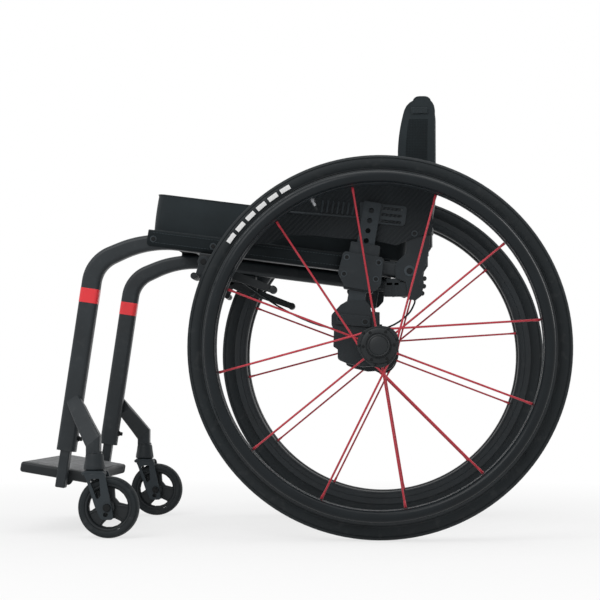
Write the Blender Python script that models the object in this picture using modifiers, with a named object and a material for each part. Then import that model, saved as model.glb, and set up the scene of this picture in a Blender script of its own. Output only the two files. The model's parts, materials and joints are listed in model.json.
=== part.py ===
"""A rigid-frame active wheelchair, as separate pieces at real size.

Metres, +Z up. The chair faces -Y and its left side is +X. The origin is on the floor below the middle
of the chair. Most places are given as (across, ahead, up): across from the middle plane to the chair's
left, ahead of the rear axle, and up from the floor.
"""

import math

import bmesh
import bpy
from mathutils import Matrix, Vector

# Clearances
GAP = 0.0003  # between neighbours that touch
WELD = 1e-6  # points closer than this are one
SHARP_ANGLE = math.radians(40)
RUNNING = 0.0003  # round a pin that turns or slides

# Layout of the whole chair
SIDE_SPACING = 0.370  # between the middles of the two side tubes
WHEEL_OUT = 0.053  # from a side tube's outer face to the rear wheel's middle plane
CASTER_OUT = 0.049  # the same to the caster's
TYRE_RADIUS = 0.305
CASTER_RADIUS = 0.049
CASTER_BEHIND_FOOT = 0.056  # the casters' swivel axis, behind the leg's foot
CASTER_TRAIL = 0.024
SEAT_SLOPE = math.radians(7.4)  # the seat falls towards the back
SEAT_OVER_AXLE = 0.130  # the seat tube's middle line, straight above the axle

# Side frame tube, a rounded rectangle
TUBE_DEEP = 0.026
TUBE_WIDE = 0.024
TUBE_CORNER = 0.007
TUBE_WALL = 0.0025
TUBE_REAR_ROOM = 0.0015  # between its rear end and the backrest's foot
KNEE_AHEAD = 0.379  # where the seat line starts to fall towards the legs
KNEE_RADIUS = 0.170
NOSE_PAST_KNEE = 0.0876  # the corner above the leg
NOSE_OVER_SEAT = 0.0084  # above the seat line's height over the axle
NOSE_RADIUS = 0.055
LEG_PAST_NOSE = 0.0434  # the middle of the leg's lower end
LEG_END_UP = 0.136
CROSS_TUBE_RADIUS = 0.011
CROSS_TUBE_WALL = 0.002
CROSS_TUBE_BEHIND_KNEE = 0.079
SLEEVE_LENGTH = 0.124  # the solid lower end of the leg, round the footrest tube
CLAMP_SCREW_RADIUS = 0.0037
CLAMP_SCREW_OVER_END = 0.022
CLAMP_SCREW_LENGTH = 0.010

# Axle tube, post and clamps
AXLE_TUBE_RADIUS = 0.016
AXLE_TUBE_WALL = 0.0025
AXLE_TUBE_OVERHANG = 0.0025  # past the axle clamp
AXLE_SLEEVE_LENGTH = 0.060
AXLE_TUBE_STEPS = 16
AXLE_PIN_RADIUS = 0.00635
AXLE_PIN_LENGTH = 0.110  # from the hub's face inwards
AXLE_FLANGE_RADIUS = 0.012
AXLE_FLANGE_THICK = 0.003
POST_TILT = math.radians(9.8)
POST_AHEAD = 0.050  # the post's middle line at axle height
POST_WIDE = 0.028
POST_THICK = 0.010
POST_ROOM = 0.0004  # between it and the side guard
POST_TOP = 0.108  # along the post, above the seat line's height over the axle
POST_FOOT = 0.032
POST_HOLE_RADIUS = 0.0043
POST_HOLE_PITCH = 0.0166
POST_HOLE_TOP = 0.014  # from the post's top down to the first hole
POST_HOLES = 4
COLLAR_WIDE = 0.048
COLLAR_TOP = 0.0395
COLLAR_FOOT = -0.038
COLLAR_WALL = 0.0032  # over the post's outer face
PLATE_WIDE = 0.066
PLATE_TOP = 0.0215
PLATE_SHOULDER = -0.015  # where its lower corners start
PLATE_FOOT = -0.0355
PLATE_FOOT_WIDE = 0.043
PLATE_THICK = 0.004
PLATE_CORNER = 0.006
PLATE_SCREW_RADIUS = 0.0028
PLATE_SCREWS_APART = 0.052
PLATE_SCREWS_ALONG = (0.012, -0.015)
AXLE_CLAMP_WIDE = 0.026
AXLE_CLAMP_COVER = 0.0012  # over the post's outer face
AXLE_CLAMP_CAP = 0.0035  # how far its cap bar stands out
AXLE_CLAMP_OUTLINE = (  # (ahead, above the axle, fillet radius)
    (0.050, 0.075, 0.004),
    (0.062, 0.068, 0.006),
    (0.0765, 0.052, 0.006),
    (0.0765, 0.036, 0.004),
    (0.0726, 0.026, 0.0),
    (0.0735, 0.001, 0.0),
    (0.0665, -0.004, 0.0),
    (0.0665, -0.020, 0.006),
    (0.052, -0.026, 0.004),
    (0.026, -0.032, 0.006),
    (-0.026, -0.028, 0.026),
    (-0.026, 0.012, 0.012),
    (-0.010, 0.025, 0.004),
    (-0.001, 0.036, 0.0),
    (-0.001, 0.056, 0.0),
    (0.012, 0.057, 0.0),
    (0.014, 0.066, 0.0),
    (0.022, 0.075, 0.004),
)
AXLE_CLAMP_BOLTS = ((0.0622, 0.0454), (0.0221, 0.0402))  # the front and rear bolt, (ahead, above the axle)
AXLE_CAP_EDGE = 0.009

# Rear wheel
WHEEL_STEPS = 32
TYRE_SECTION = 0.027
TYRE_DEEP = 0.023  # from the tread to the tyre's flat inner face
RIM_DEEP = 0.024
RIM_WIDE = 0.021
RIM_SHOULDER = 0.004  # bevel on its inner edges
VALVE_RADIUS = 0.003
VALVE_LENGTH = 0.020
HAND_RIM_INSET = 0.039  # from the tread to the middle of the hand rim's tube
HAND_RIM_TUBE = 0.0095
HAND_RIM_OFFSET = 0.036  # outboard of the wheel's middle plane
HAND_RIM_TABS = 6
HAND_RIM_TAB = (0.012, 0.007)  # along the rim, and square to it
HUB_INNER = 0.024  # inboard of the wheel's middle plane
HUB_OUTER = 0.026
HUB_INNER_FLANGE = 0.0177  # inboard of the middle plane, its own middle
HUB_OUTER_FLANGE = 0.0197
HUB_FLANGE_THICK = 0.0048
HUB_RING_RADIUS = 0.028
HUB_CHAMFER = 0.0015
HUB_STEPS = 16
HUB_BARREL_RADIUS = 0.015
HUB_FLANGE_RADIUS = 0.0345
HUB_INNER_FLANGE_RADIUS = 0.030
SPOKES = 12
SPOKE_RADIUS = 0.0017
SPOKE_CROSS = math.radians(50)
SPOKE_PHASE = math.radians(9.3)
BUTTON_RADIUS = 0.0175
BUTTON_THICK = 0.006
BUTTON_STEM_RADIUS = 0.0025
BUTTON_STEM_LENGTH = 0.024
BUTTON_TRAVEL = 0.003

# Caster
CASTER_STEPS = 20
CASTER_WIDE = 0.024
CASTER_TYRE_DEEP = 0.0115
CASTER_RIM_DEEP = 0.0075  # from the tyre to the core's windows
CASTER_WINDOW_INNER = 0.0145  # their radius nearest the hub
CASTER_WINDOWS = 3
CASTER_SPOKE = math.radians(40)  # the turn between two windows
CASTER_WEB = 0.011
CASTER_HUB_RADIUS = 0.0115
CASTER_AXLE_RADIUS = 0.004
CASTER_AXLE_HEAD = 0.0065
FORK_ROOM = 0.002  # between the tyre's side and each plate
FORK_OVER_TYRE = 0.0025  # between the tyre and the crown
FORK_WALL = 0.005
FORK_CROWN = 0.0075
FORK_CROWN_RADIUS = 0.019
FORK_OUTLINE = (  # (ahead of the caster's axle, above it, fillet radius); its top is just below the crown's
    (0.0425, None, 0.0),
    (0.0065, None, 0.0),
    (-0.0075, -0.0090, 0.0),
    (-0.0075, -0.0190, 0.007),
    (0.0140, -0.0190, 0.007),
    (0.0260, -0.0010, 0.010),
    (0.0380, 0.0370, 0.010),
)
FORK_WINDOW = (
    (0.0325, 0.0410, 0.002),
    (0.0170, 0.0435, 0.002),
    (0.0125, 0.0150, 0.002),
    (0.0180, 0.0090, 0.002),
)
SPARE_HOLE = (0.005, -0.012)  # the other setting for the caster's axle, as (ahead, above)
STEM_RADIUS = 0.006
STEM_LENGTH = 0.044
STEM_IN_FORK = 0.006
HOUSING_RADIUS = 0.0165
HOUSING_SHOULDER_RADIUS = 0.0153
HOUSING_TALL = 0.027
NECK_DEEP = 0.0185
NECK_WIDE = 0.020
NECK_TALL = 0.049  # above the fork
ARM_DEEP = 0.025
ARM_TALL = 0.030
ARM_RISE = 0.053  # from the neck up to its middle on the leg
ARM_BOW = (0.031, 0.004, 0.020)  # how far outboard, back and down its bend's corner is

# Footrest
FOOT_TUBE_DEEP = 0.0164
FOOT_TUBE_WIDE = 0.019
FOOT_TUBE_WALL = 0.002
FOOT_TUBE_CORNER = 0.002
FOOT_TUBE_AHEAD = 0.003  # of the leg's middle line
FOOT_TUBE_UNDER_PIVOT = 0.014
FOOT_TUBE_IN_LEG = 0.086
FOOT_PIVOT_UP = 0.090
FOOT_PIN_RADIUS = 0.004
FOOTPLATE_PAST_LEG = 0.075  # its front edge, ahead of the leg's foot
FOOTPLATE_DEEP = 0.105
FOOTPLATE_THICK = 0.016
FOOTPLATE_TILT = math.radians(7)
FOOTPLATE_OVER_PIVOT = 0.0145  # its middle
HANGER_THICK = 0.005
HANGER_OUTLINE = (  # (ahead of the pivot, above it, fillet radius)
    (0.036, 0.016, 0.0),
    (0.012, 0.005, 0.010),
    (0.008, -0.010, 0.006),
    (-0.010, -0.011, 0.006),
    (-0.017, -0.001, 0.008),
    (-0.034, 0.004, 0.0),
    (-0.034, 0.010, 0.0),
)

# Seat
SLING_THICK = 0.0022
SLING_FLAP = 0.022
SLING_BEHIND_KNEE = 0.0025
SLING_REAR = -0.016
SLING_FLAP_REAR = 0.095
SLING_LIP = 0.010
SLING_SCREWS = (0.0098, 0.1069)  # behind its front edge
SLING_SCREW_RADIUS = 0.0055
SLING_SCREW_TALL = 0.0022
CUSHION_INSET = 0.013  # each side, from the middle of the side tube
CUSHION_THICK = 0.057  # at its edges
CUSHION_CROWN = 0.005  # how much more in the middle
CUSHION_BEHIND_SLING = 0.0085
CUSHION_REAR = -0.012
CUSHION_CORNER = 0.018
CUSHION_DRAW = 0.015  # share of the width lost at half height

# Side guard
GUARD_THICK = 0.0028
GUARD_REACH = 0.283  # radius of its upper edge, round the axle
GUARD_REAR = -0.0878
GUARD_ARC_STEPS = 14
GUARD_EDGE = (  # its rear and lower edge, as (ahead, above the seat line's height over the axle, fillet radius)
    (-0.0863, 0.0558, 0.004),
    (-0.0507, 0.0456, 0.010),
    (-0.0280, 0.0348, 0.008),
    (0.0044, 0.0425, 0.010),
    (0.0643, 0.0470, 0.0),
    (0.1080, 0.0518, 0.0),
    (0.1469, 0.0526, 0.010),
    (0.1777, 0.0400, 0.010),
    (0.2290, 0.0350, 0.0),
)
GUARD_SCREW = (-0.0575, 0.0540)
GUARD_SCREW_RADIUS = 0.0045

# Backrest
PIVOT_AHEAD = -0.0495
PIVOT_PIN_RADIUS = 0.005
PIVOT_PIN_LENGTH = 0.016
FOOT_BOSS_RADIUS = 0.012
FOOT_ROOM = 0.001  # inwards of the side tube's inner face
FOOT_OUTLINE = (  # (ahead of the pivot, above it, fillet radius)
    (0.0040, 0.0030, 0.0),
    (-0.0090, 0.0180, 0.004),
    (-0.0170, 0.0460, 0.008),
    (-0.0170, 0.0620, 0.0),
    (-0.0360, 0.0620, 0.0),
    (-0.0360, 0.0390, 0.008),
    (-0.0065, -0.0040, 0.0),
)
BRACKET_THICK = 0.004
BRACKET_CAP_RADIUS = 0.0087
BRACKET_OUTLINE = (
    (-0.0335, 0.0580, 0.0),
    (-0.0315, 0.0350, 0.020),
    (-0.0278, 0.0166, 0.020),
    (-0.0210, -0.0033, 0.006),
    (-0.0230, -0.0200, 0.004),
    (-0.0200, -0.0400, 0.006),
    (-0.0105, -0.0470, 0.0),
    (0.0030, -0.0465, 0.0),
    (0.0065, -0.0180, 0.0),
    (0.0225, -0.0120, 0.004),
    (0.0240, 0.0020, 0.006),
    (0.0204, 0.0154, 0.006),
    (0.0055, 0.0290, 0.010),
    (0.0043, 0.0560, 0.0),
)
KNURLS = ((-0.0240, -0.0120), (-0.0232, -0.0245), (-0.0205, -0.0360))
ADJUSTER_DEEP = 0.054
ADJUSTER_TALL = 0.023
ADJUSTER_BEHIND_PIVOT = 0.0125
ADJUSTER_WIDE = 0.020
KNURL_RADIUS = 0.0036
CANE_RADIUS = 0.011
CANE_WALL = 0.002
CANE_SIDES = 12
CANE_BEHIND_PIVOT = 0.0265
CANE_FOOT = 0.033  # this and the next three are above the seat line's height over the axle
CANE_TOP = 0.261
BACK_TOP = 0.279
BACK_FOOT = 0.083
BACK_PAST_CANE = 0.014  # each side, from the cane's middle
BACK_BEHIND_PIVOT = 0.0413
BACK_THICK = 0.058
BACK_CORNER = 0.010
BACK_HOLLOW = 0.030  # how much thinner its middle is
BACK_TAPER = 0.018  # how much thinner its top and bottom are
HINGE_BAR_RADIUS = 0.009
HINGE_BAR_WALL = 0.002

# Wheel lock
LOCK_GAP = 0.004  # between its bar and the tyre
LOCK_BAR_RADIUS = 0.0055
LOCK_BAR_DROP = 0.018  # below the seat line's height over the axle
LOCK_ARM_LENGTH = 0.028
LOCK_ARM_THICK = 0.005
LOCK_BASE_OUT = 0.015  # past the side tube's outer face
LOCK_BASE_TALL = 0.016
LOCK_BASE_LENGTH = 0.058
LOCK_BASE_BEHIND_BAR = 0.03188
LOCK_PIVOT_PLACE = (-0.017, -0.04403)  # from the seat line above the clamp's middle
LOCK_KNOB_PLACE = (-0.070, -0.022)  # from the lever's pivot
LOCK_KNOB_RADIUS = 0.0105
LOCK_KNOB_WIDE = 0.018
LOCK_BOSS_RADIUS = 0.009
LOCK_PIN_RADIUS = 0.004
LOCK_WALL_OUTLINE = (  # (ahead of the clamp's middle, above the seat line there, fillet radius)
    (-0.0270, -0.0260, 0.0),
    (-0.0270, -0.0490, 0.008),
    (-0.0120, -0.0545, 0.008),
    (0.0010, -0.0470, 0.008),
    (0.0320, -0.0340, 0.008),
    (0.0310, -0.0200, 0.0),
)

# Release cable: places it passes are (in from the side tube, share of the way from the cross tube to the
# backrest's pivot, above the seat line's height over the axle)
CABLE_RADIUS = 0.0015
CABLE_ROUTE = (
    (0.1450, 0.0343, 0.0255),
    (0.1445, 0.0458, 0.0210),
    (0.1440, 0.0572, 0.0165),
    (0.1350, 0.1373, -0.0020),
    (0.1210, 0.2518, -0.0300),
    (0.1030, 0.4006, -0.0635),
    (0.0810, 0.5722, -0.0900),
    (0.0570, 0.7582, -0.1015),
    (0.0330, 0.9013, -0.0950),
    (0.0140, 0.9871, -0.0770),
    (0.0030, 1.0200, -0.0600),
    (0.0010, 1.0243, -0.0510),
    (0.0010, 1.0243, -0.0410),
)
CABLE_STEPS = 4  # points in each of its stretches
CABLE_LUG = 0.006  # how far its ends sit in their holders

# Worked out from the sizes above, across
SIDE = SIDE_SPACING / 2
TUBE_OUTER = SIDE + TUBE_WIDE / 2
TUBE_INNER = SIDE - TUBE_WIDE / 2
WHEEL = TUBE_OUTER + WHEEL_OUT
CASTER = TUBE_OUTER + CASTER_OUT
GUARD_INNER = TUBE_OUTER + BRACKET_THICK + 2 * GAP
POST_INNER = GUARD_INNER + GUARD_THICK + POST_ROOM
POST_OUTER = POST_INNER + POST_THICK
COLLAR_OUTER = POST_OUTER + COLLAR_WALL
AXLE_CLAMP_OUTER = POST_OUTER + AXLE_CLAMP_COVER
AXLE_CLAMP_INNER = AXLE_CLAMP_OUTER - AXLE_CLAMP_WIDE
LOCK_BASE_OUTER = TUBE_OUTER + LOCK_BASE_OUT
FOOT_INNER = TUBE_INNER + FOOT_ROOM
FORK_INSIDE = CASTER_WIDE / 2 + FORK_ROOM
FORK_OUTER = FORK_INSIDE + FORK_WALL

# Worked out, ahead of the rear axle
NOSE_AHEAD = KNEE_AHEAD + NOSE_PAST_KNEE
LEG_END_AHEAD = NOSE_AHEAD + LEG_PAST_NOSE
CASTER_AHEAD = LEG_END_AHEAD - CASTER_BEHIND_FOOT
CASTER_CENTRE = (CASTER_AHEAD - CASTER_TRAIL, CASTER_RADIUS)
CROSS_TUBE_AHEAD = KNEE_AHEAD - CROSS_TUBE_BEHIND_KNEE
TUBE_REAR = PIVOT_AHEAD + FOOT_BOSS_RADIUS + TUBE_REAR_ROOM
FOOTPLATE_FRONT = LEG_END_AHEAD + FOOTPLATE_PAST_LEG
SLING_FRONT = KNEE_AHEAD - SLING_BEHIND_KNEE
CUSHION_FRONT = SLING_FRONT - CUSHION_BEHIND_SLING
CANE_AHEAD = PIVOT_AHEAD - CANE_BEHIND_PIVOT
BACK_REAR = PIVOT_AHEAD - BACK_BEHIND_PIVOT

# Worked out, up from the floor
AXLE_UP = TYRE_RADIUS
SEAT_UP = AXLE_UP + SEAT_OVER_AXLE
NOSE_UP = SEAT_UP + NOSE_OVER_SEAT
FORK_TOP = 2 * CASTER_RADIUS + FORK_OVER_TYRE + FORK_CROWN
NECK_TOP = FORK_TOP + NECK_TALL
ARM_UP = NECK_TOP + ARM_RISE
CLAMP_SCREW_UP = LEG_END_UP + CLAMP_SCREW_OVER_END
FOOT_TUBE_FOOT = FOOT_PIVOT_UP - FOOT_TUBE_UNDER_PIVOT
FOOT_TUBE_TOP = LEG_END_UP + FOOT_TUBE_IN_LEG
FOOTPLATE_UP = FOOT_PIVOT_UP + FOOTPLATE_OVER_PIVOT

# Worked out, other sizes
TYRE_SEAT = TYRE_RADIUS - TYRE_DEEP
RIM_INNER_RADIUS = TYRE_SEAT - RIM_DEEP
HAND_RIM_RADIUS = TYRE_RADIUS - HAND_RIM_INSET
CASTER_CORE_RADIUS = CASTER_RADIUS - CASTER_TYRE_DEEP
CASTER_WINDOW_OUTER = CASTER_CORE_RADIUS - CASTER_RIM_DEEP
SLING_BOTTOM = TUBE_DEEP / 2 + GAP
CUSHION_BOTTOM = SLING_BOTTOM + SLING_THICK + GAP
AXLE_BACK = (FOOTPLATE_FRONT - TYRE_RADIUS) / 2  # the rear axle's Y
WHEEL_CENTRE = Vector((WHEEL, AXLE_BACK, AXLE_UP))
LEG_TILT = math.atan2(LEG_END_AHEAD - NOSE_AHEAD, NOSE_UP - LEG_END_UP)
LEG_TURN = Matrix.Rotation(-LEG_TILT, 3, "X")
POST_TURN = Matrix.Rotation(-POST_TILT, 3, "X")
SEAT_TURN = Matrix.Rotation(-SEAT_SLOPE, 3, "X")
FOOTPLATE_TURN = Matrix.Rotation(-FOOTPLATE_TILT, 3, "X")

COLOURS = {
    "paint": ((0.018, 0.023, 0.026), 0.45, 0.4),
    "plastic": ((0.016, 0.019, 0.021), 0.55, 0.0),
    "rubber": ((0.020, 0.023, 0.025), 0.75, 0.0),
    "fabric": ((0.012, 0.014, 0.016), 0.90, 0.0),
    "carbon": ((0.014, 0.017, 0.019), 0.35, 0.1),
    "spoke": ((0.480, 0.032, 0.050), 0.45, 0.0),
    "steel": ((0.100, 0.110, 0.120), 0.35, 1.0),
}


def at(across, ahead, up):
    """A point in the chair's own directions, as a world point."""
    return Vector((across, AXLE_BACK - ahead, up))


def on_seat(along, above):
    """(ahead, up) of a point along the seat tube's middle line and square above it."""
    return (
        along * math.cos(SEAT_SLOPE) - above * math.sin(SEAT_SLOPE),
        SEAT_UP + along * math.sin(SEAT_SLOPE) + above * math.cos(SEAT_SLOPE),
    )


def on_post(forward, along):
    """(ahead, up) of a point on the post, from its middle line at axle height."""
    return (
        POST_AHEAD + forward * math.cos(POST_TILT) - along * math.sin(POST_TILT),
        AXLE_UP + forward * math.sin(POST_TILT) + along * math.cos(POST_TILT),
    )


def by_seat(along):
    """How far along the post a place is that is given above the seat line's height over the axle."""
    return SEAT_OVER_AXLE + along


def seat_along(ahead):
    """How far along the seat line a place ahead of the axle is."""
    return ahead / math.cos(SEAT_SLOPE)


def clear_scene():
    for obj in list(bpy.data.objects):
        bpy.data.objects.remove(obj, do_unlink=True)
    for collection in list(bpy.data.collections):
        bpy.data.collections.remove(collection)


def new_collection(name):
    collection = bpy.data.collections.new(name)
    bpy.context.scene.collection.children.link(collection)
    return collection


def material(name):
    """The finish called name, made once."""
    if name in bpy.data.materials:
        return bpy.data.materials[name]
    colour, roughness, metallic = COLOURS[name]
    made = bpy.data.materials.new(name)
    made.use_nodes = True
    shader = made.node_tree.nodes["Principled BSDF"]
    shader.inputs["Base Color"].default_value = (*colour, 1)
    shader.inputs["Roughness"].default_value = roughness
    shader.inputs["Metallic"].default_value = metallic
    return made


def helper(obj):
    """Puts a new shape with the helpers, out of the render."""
    HELPERS.objects.link(obj)
    obj.hide_render = True
    obj.display_type = "WIRE"
    return obj


def object_from(fill, name):
    """A helper object from a bmesh filled by a function, with its faces turned outwards."""
    shape = bmesh.new()
    fill(shape)
    shape.normal_update()
    bmesh.ops.recalc_face_normals(shape, faces=shape.faces)
    mesh = bpy.data.meshes.new(name)
    shape.to_mesh(mesh)
    shape.free()
    return helper(bpy.data.objects.new(name, mesh))


def evaluated_mesh(obj):
    """The object's mesh with its modifiers done, in world space."""
    bpy.context.view_layer.update()
    graph = bpy.context.evaluated_depsgraph_get()
    mesh = bpy.data.meshes.new_from_object(obj.evaluated_get(graph))
    mesh.transform(obj.matrix_world)
    return mesh


def as_mesh(curve_object):
    """A curve object made a mesh, with its caps welded and its faces turned outwards."""
    mesh = evaluated_mesh(curve_object)

    def fill(shape):
        shape.from_mesh(mesh)
        bmesh.ops.remove_doubles(shape, verts=shape.verts, dist=WELD)

    made = object_from(fill, curve_object.name)
    bpy.data.objects.remove(curve_object, do_unlink=True)
    bpy.data.meshes.remove(mesh)
    return made


def rounded(corners, steps=4):
    """A closed outline from (x, y, fillet radius) corners, with each fillet as an arc."""
    points = []
    for i, (x, y, radius) in enumerate(corners):
        here = Vector((x, y))
        back = Vector(corners[i - 1][:2]) - here
        on = Vector(corners[(i + 1) % len(corners)][:2]) - here
        turn = back.angle(on)
        reach = min(radius / math.tan(turn / 2), 0.49 * back.length, 0.49 * on.length)
        if radius <= 0 or reach < 1e-5 or turn > math.radians(179):
            points.append(here)
            continue
        radius = reach * math.tan(turn / 2)
        middle = here + (back.normalized() + on.normalized()).normalized() * radius / math.sin(turn / 2)
        first = here + back.normalized() * reach - middle
        swing = first.angle_signed(here + on.normalized() * reach - middle)
        for step in range(steps + 1):
            arm = first.copy()
            arm.rotate(Matrix.Rotation(-swing * step / steps, 2))
            points.append(middle + arm)
    return points


def flat(name, corners, thickness, steps=4):
    """A flat piece square to Z, its middle at the origin: corners are (x, y, fillet radius)."""
    outline = rounded(corners, steps)
    curve = bpy.data.curves.new(name, "CURVE")
    curve.dimensions = "2D"
    curve.fill_mode = "BOTH"
    curve.extrude = thickness / 2
    line = curve.splines.new("POLY")
    line.points.add(len(outline) - 1)
    for point, place in zip(line.points, outline):
        point.co = (*place, 0, 1)
    line.use_cyclic_u = True
    made = bpy.data.objects.new(name, curve)
    bpy.context.scene.collection.objects.link(made)
    return as_mesh(made)


def plate(name, corners, inner, outer, steps=4):
    """A flat piece square to X: corners are (ahead, up, fillet radius), inner and outer its faces' across."""
    places = [(AXLE_BACK - ahead, up, radius) for ahead, up, radius in corners]
    made = flat(name, places, abs(outer - inner), steps)
    stand_up = Matrix(((0, 0, 1, 0), (1, 0, 0, 0), (0, 1, 0, 0), (0, 0, 0, 1)))
    made.data.transform(Matrix.Translation(((inner + outer) / 2, 0, 0)) @ stand_up)
    return made


def rod(name, radius, start, end, sides=16, end_radius=None):
    """A round bar or cone from one world point to another."""
    along = end - start

    def fill(shape):
        bmesh.ops.create_cone(
            shape,
            cap_ends=True,
            segments=sides,
            radius1=radius,
            radius2=radius if end_radius is None else end_radius,
            depth=along.length,
        )
        turn = Vector((0, 0, 1)).rotation_difference(along).to_matrix().to_4x4()
        shape.transform(Matrix.Translation((start + end) / 2) @ turn)

    return object_from(fill, name)


def cross_rod(name, radius, ahead, up, inner, outer, sides=16, end_radius=None):
    """A round bar along X, from across inner to outer."""
    return rod(name, radius, at(inner, ahead, up), at(outer, ahead, up), sides, end_radius)


def block(name, size, centre, turn=None, edge=0.0, segments=2):
    """A box with rounded edges, turned about its centre by a rotation matrix."""

    def fill(shape):
        bmesh.ops.create_cube(shape, size=1)
        shape.transform(Matrix.Diagonal((*size, 1)))

    made = object_from(fill, name)
    made.matrix_world = Matrix.Translation(centre) @ (turn or Matrix.Identity(3)).to_4x4()
    if edge:
        bevel = made.modifiers.new("edges", "BEVEL")
        bevel.width = edge
        bevel.segments = segments
        bevel.limit_method = "ANGLE"
    return made


def turned(name, profile, centre, axis="X", steps=32):
    """A turned piece about X or Z: profile is a closed list of (radius, along the axis from centre).

    The radii are to the flats, so that a turned pin still fits a turned bore.
    """
    reach = 1 / math.cos(math.pi / steps)
    area = sum(a[0] * b[1] - b[0] * a[1] for a, b in zip(profile, profile[1:] + profile[:1]))
    points = list(profile) if area < 0 else list(reversed(profile))

    def fill(shape):
        ring = [shape.verts.new((radius * reach, 0, along)) for radius, along in points]
        for here, on in zip(ring, ring[1:] + ring[:1]):
            if here.co.x or on.co.x:
                shape.edges.new((here, on))

    made = object_from(fill, name)
    screw = made.modifiers.new("turn", "SCREW")
    screw.steps = screw.render_steps = steps
    screw.use_merge_vertices = True
    screw.merge_threshold = WELD
    turn = Matrix.Rotation(math.pi / 2, 4, "Y") if axis == "X" else Matrix.Identity(4)
    made.matrix_world = Matrix.Translation(centre) @ turn @ Matrix.Rotation(math.pi / steps, 4, "Z")
    return made


def mirrored_profile(half):
    """A profile that is the same on both sides of its middle plane, from one side's points."""
    return [(radius, -along) for radius, along in reversed(half)] + list(half)


def pipe(name, radius, wall, half_length, centre, steps):
    """A round tube along X."""
    inner = radius - wall
    ends = [(radius, -half_length), (radius, half_length), (inner, half_length), (inner, -half_length)]
    return turned(name, ends, centre, steps=steps)


def lofted(name, rings):
    """A closed body through rings of points, with flat ends."""

    def fill(shape):
        rows = [[shape.verts.new(point) for point in ring] for ring in rings]
        for row, on in zip(rows, rows[1:]):
            for i in range(len(row)):
                shape.faces.new((row[i - 1], row[i], on[i], on[i - 1]))
        shape.faces.new(rows[0])
        shape.faces.new(rows[-1])

    return object_from(fill, name)


def soft_block(name, half, edge, counts, form, centre):
    """A padded block: a cage with its outer loops near its edges, smoothed by subdivision.

    Each cage point is then moved by form(point, place), where place runs from -1 to 1 along each side.
    """

    def fill(shape):
        bmesh.ops.create_cube(shape, size=2)
        for axis, count in enumerate(counts):
            along = [
                line
                for line in shape.edges
                if abs((line.verts[0].co - line.verts[1].co)[axis]) > 1.5
            ]
            bmesh.ops.subdivide_edges(shape, edges=along, cuts=count - 1, use_grid_fill=True)
        for vert in shape.verts:
            place = vert.co.copy()
            for axis, count in enumerate(counts):
                if abs(place[axis]) < 0.999 and count > 2:
                    place[axis] *= (1 - edge / half[axis]) / (1 - 2 / count)
            point = Vector([value * size for value, size in zip(place, half)])
            vert.co = form(point, place)

    made = object_from(fill, name)
    made.matrix_world = centre
    smooth = made.modifiers.new("smooth", "SUBSURF")
    smooth.levels = smooth.render_levels = 1
    return made


def square_corners(wide, deep, radius):
    """The corners of a rounded rectangle about its middle, as (x, y, fillet radius)."""
    return [(wide / 2 * x, deep / 2 * y, radius) for x, y in ((1, 1), (-1, 1), (-1, -1), (1, -1))]


def together(name, objects):
    """Several separate helper shapes as one, for a single Boolean."""

    def fill(shape):
        for obj in objects:
            shape.from_mesh(evaluated_mesh(obj))

    return object_from(fill, name)


def seat_frame(along, above):
    """The matrix that puts a shape on the seat: its own -Y runs forward up the seat's slope."""
    return Matrix.Translation(at(0, *on_seat(along, above))) @ SEAT_TURN.to_4x4()


def swept(name, centreline, section):
    """An open tube of a closed (across, square to it) section along world points in one vertical plane."""
    shape = bpy.data.curves.new(name + "_section", "CURVE")
    shape.dimensions = "2D"
    edge = shape.splines.new("POLY")
    edge.points.add(len(section) - 1)
    for point, place in zip(edge.points, section):
        point.co = (*place, 0, 1)
    edge.use_cyclic_u = True
    section_object = helper(bpy.data.objects.new(name + "_section", shape))
    path = bpy.data.curves.new(name, "CURVE")
    path.dimensions = "3D"
    path.twist_mode = "Z_UP"
    path.bevel_mode = "OBJECT"
    path.bevel_object = section_object
    path.use_fill_caps = False
    line = path.splines.new("POLY")
    line.points.add(len(centreline) - 1)
    for point, place in zip(line.points, centreline):
        point.co = (*place, 1)
    run = bpy.data.objects.new(name, path)
    bpy.context.scene.collection.objects.link(run)
    made = as_mesh(run)
    bpy.data.objects.remove(section_object, do_unlink=True)
    return made


def walled(obj, wall):
    """Gives an open surface a wall, inwards."""
    solidify = obj.modifiers.new("wall", "SOLIDIFY")
    solidify.thickness = wall
    solidify.offset = -1
    solidify.use_even_offset = True
    return obj


def boolean(obj, other, operation):
    made = obj.modifiers.new(operation.lower(), "BOOLEAN")
    made.operation = operation
    made.solver = "EXACT"
    made.object = other
    return obj


def joined(obj, *others):
    for other in others:
        boolean(obj, other, "UNION")
    return obj


def cut(obj, *others):
    for other in others:
        boolean(obj, other, "DIFFERENCE")
    return obj


def carrier(name, place, holder=None):
    """An empty on a joint's axis, which carries the pieces that move with it."""
    empty = bpy.data.objects.new(name, None)
    empty.empty_display_size = TUBE_DEEP
    PARTS.objects.link(empty)
    empty.parent = holder
    empty.location = place - (holder.matrix_world.translation if holder else Vector())
    bpy.context.view_layer.update()
    return empty


def part(obj, name, finish, holder=None):
    """Makes a finished piece of a helper shape, carried by an empty if it moves."""
    mesh = evaluated_mesh(obj)
    shape = bmesh.new()
    shape.from_mesh(mesh)
    bmesh.ops.remove_doubles(shape, verts=shape.verts, dist=WELD)
    bmesh.ops.dissolve_degenerate(shape, edges=shape.edges, dist=WELD)
    shape.to_mesh(mesh)
    shape.free()
    mesh.name = name
    if holder:
        mesh.transform(Matrix.Translation(-holder.matrix_world.translation))
    mesh.shade_smooth()
    mesh.set_sharp_from_angle(angle=SHARP_ANGLE)
    mesh.materials.clear()
    mesh.materials.append(material(finish))
    made = bpy.data.objects.new(name, mesh)
    made.parent = holder
    PARTS.objects.link(made)
    return made


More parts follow.
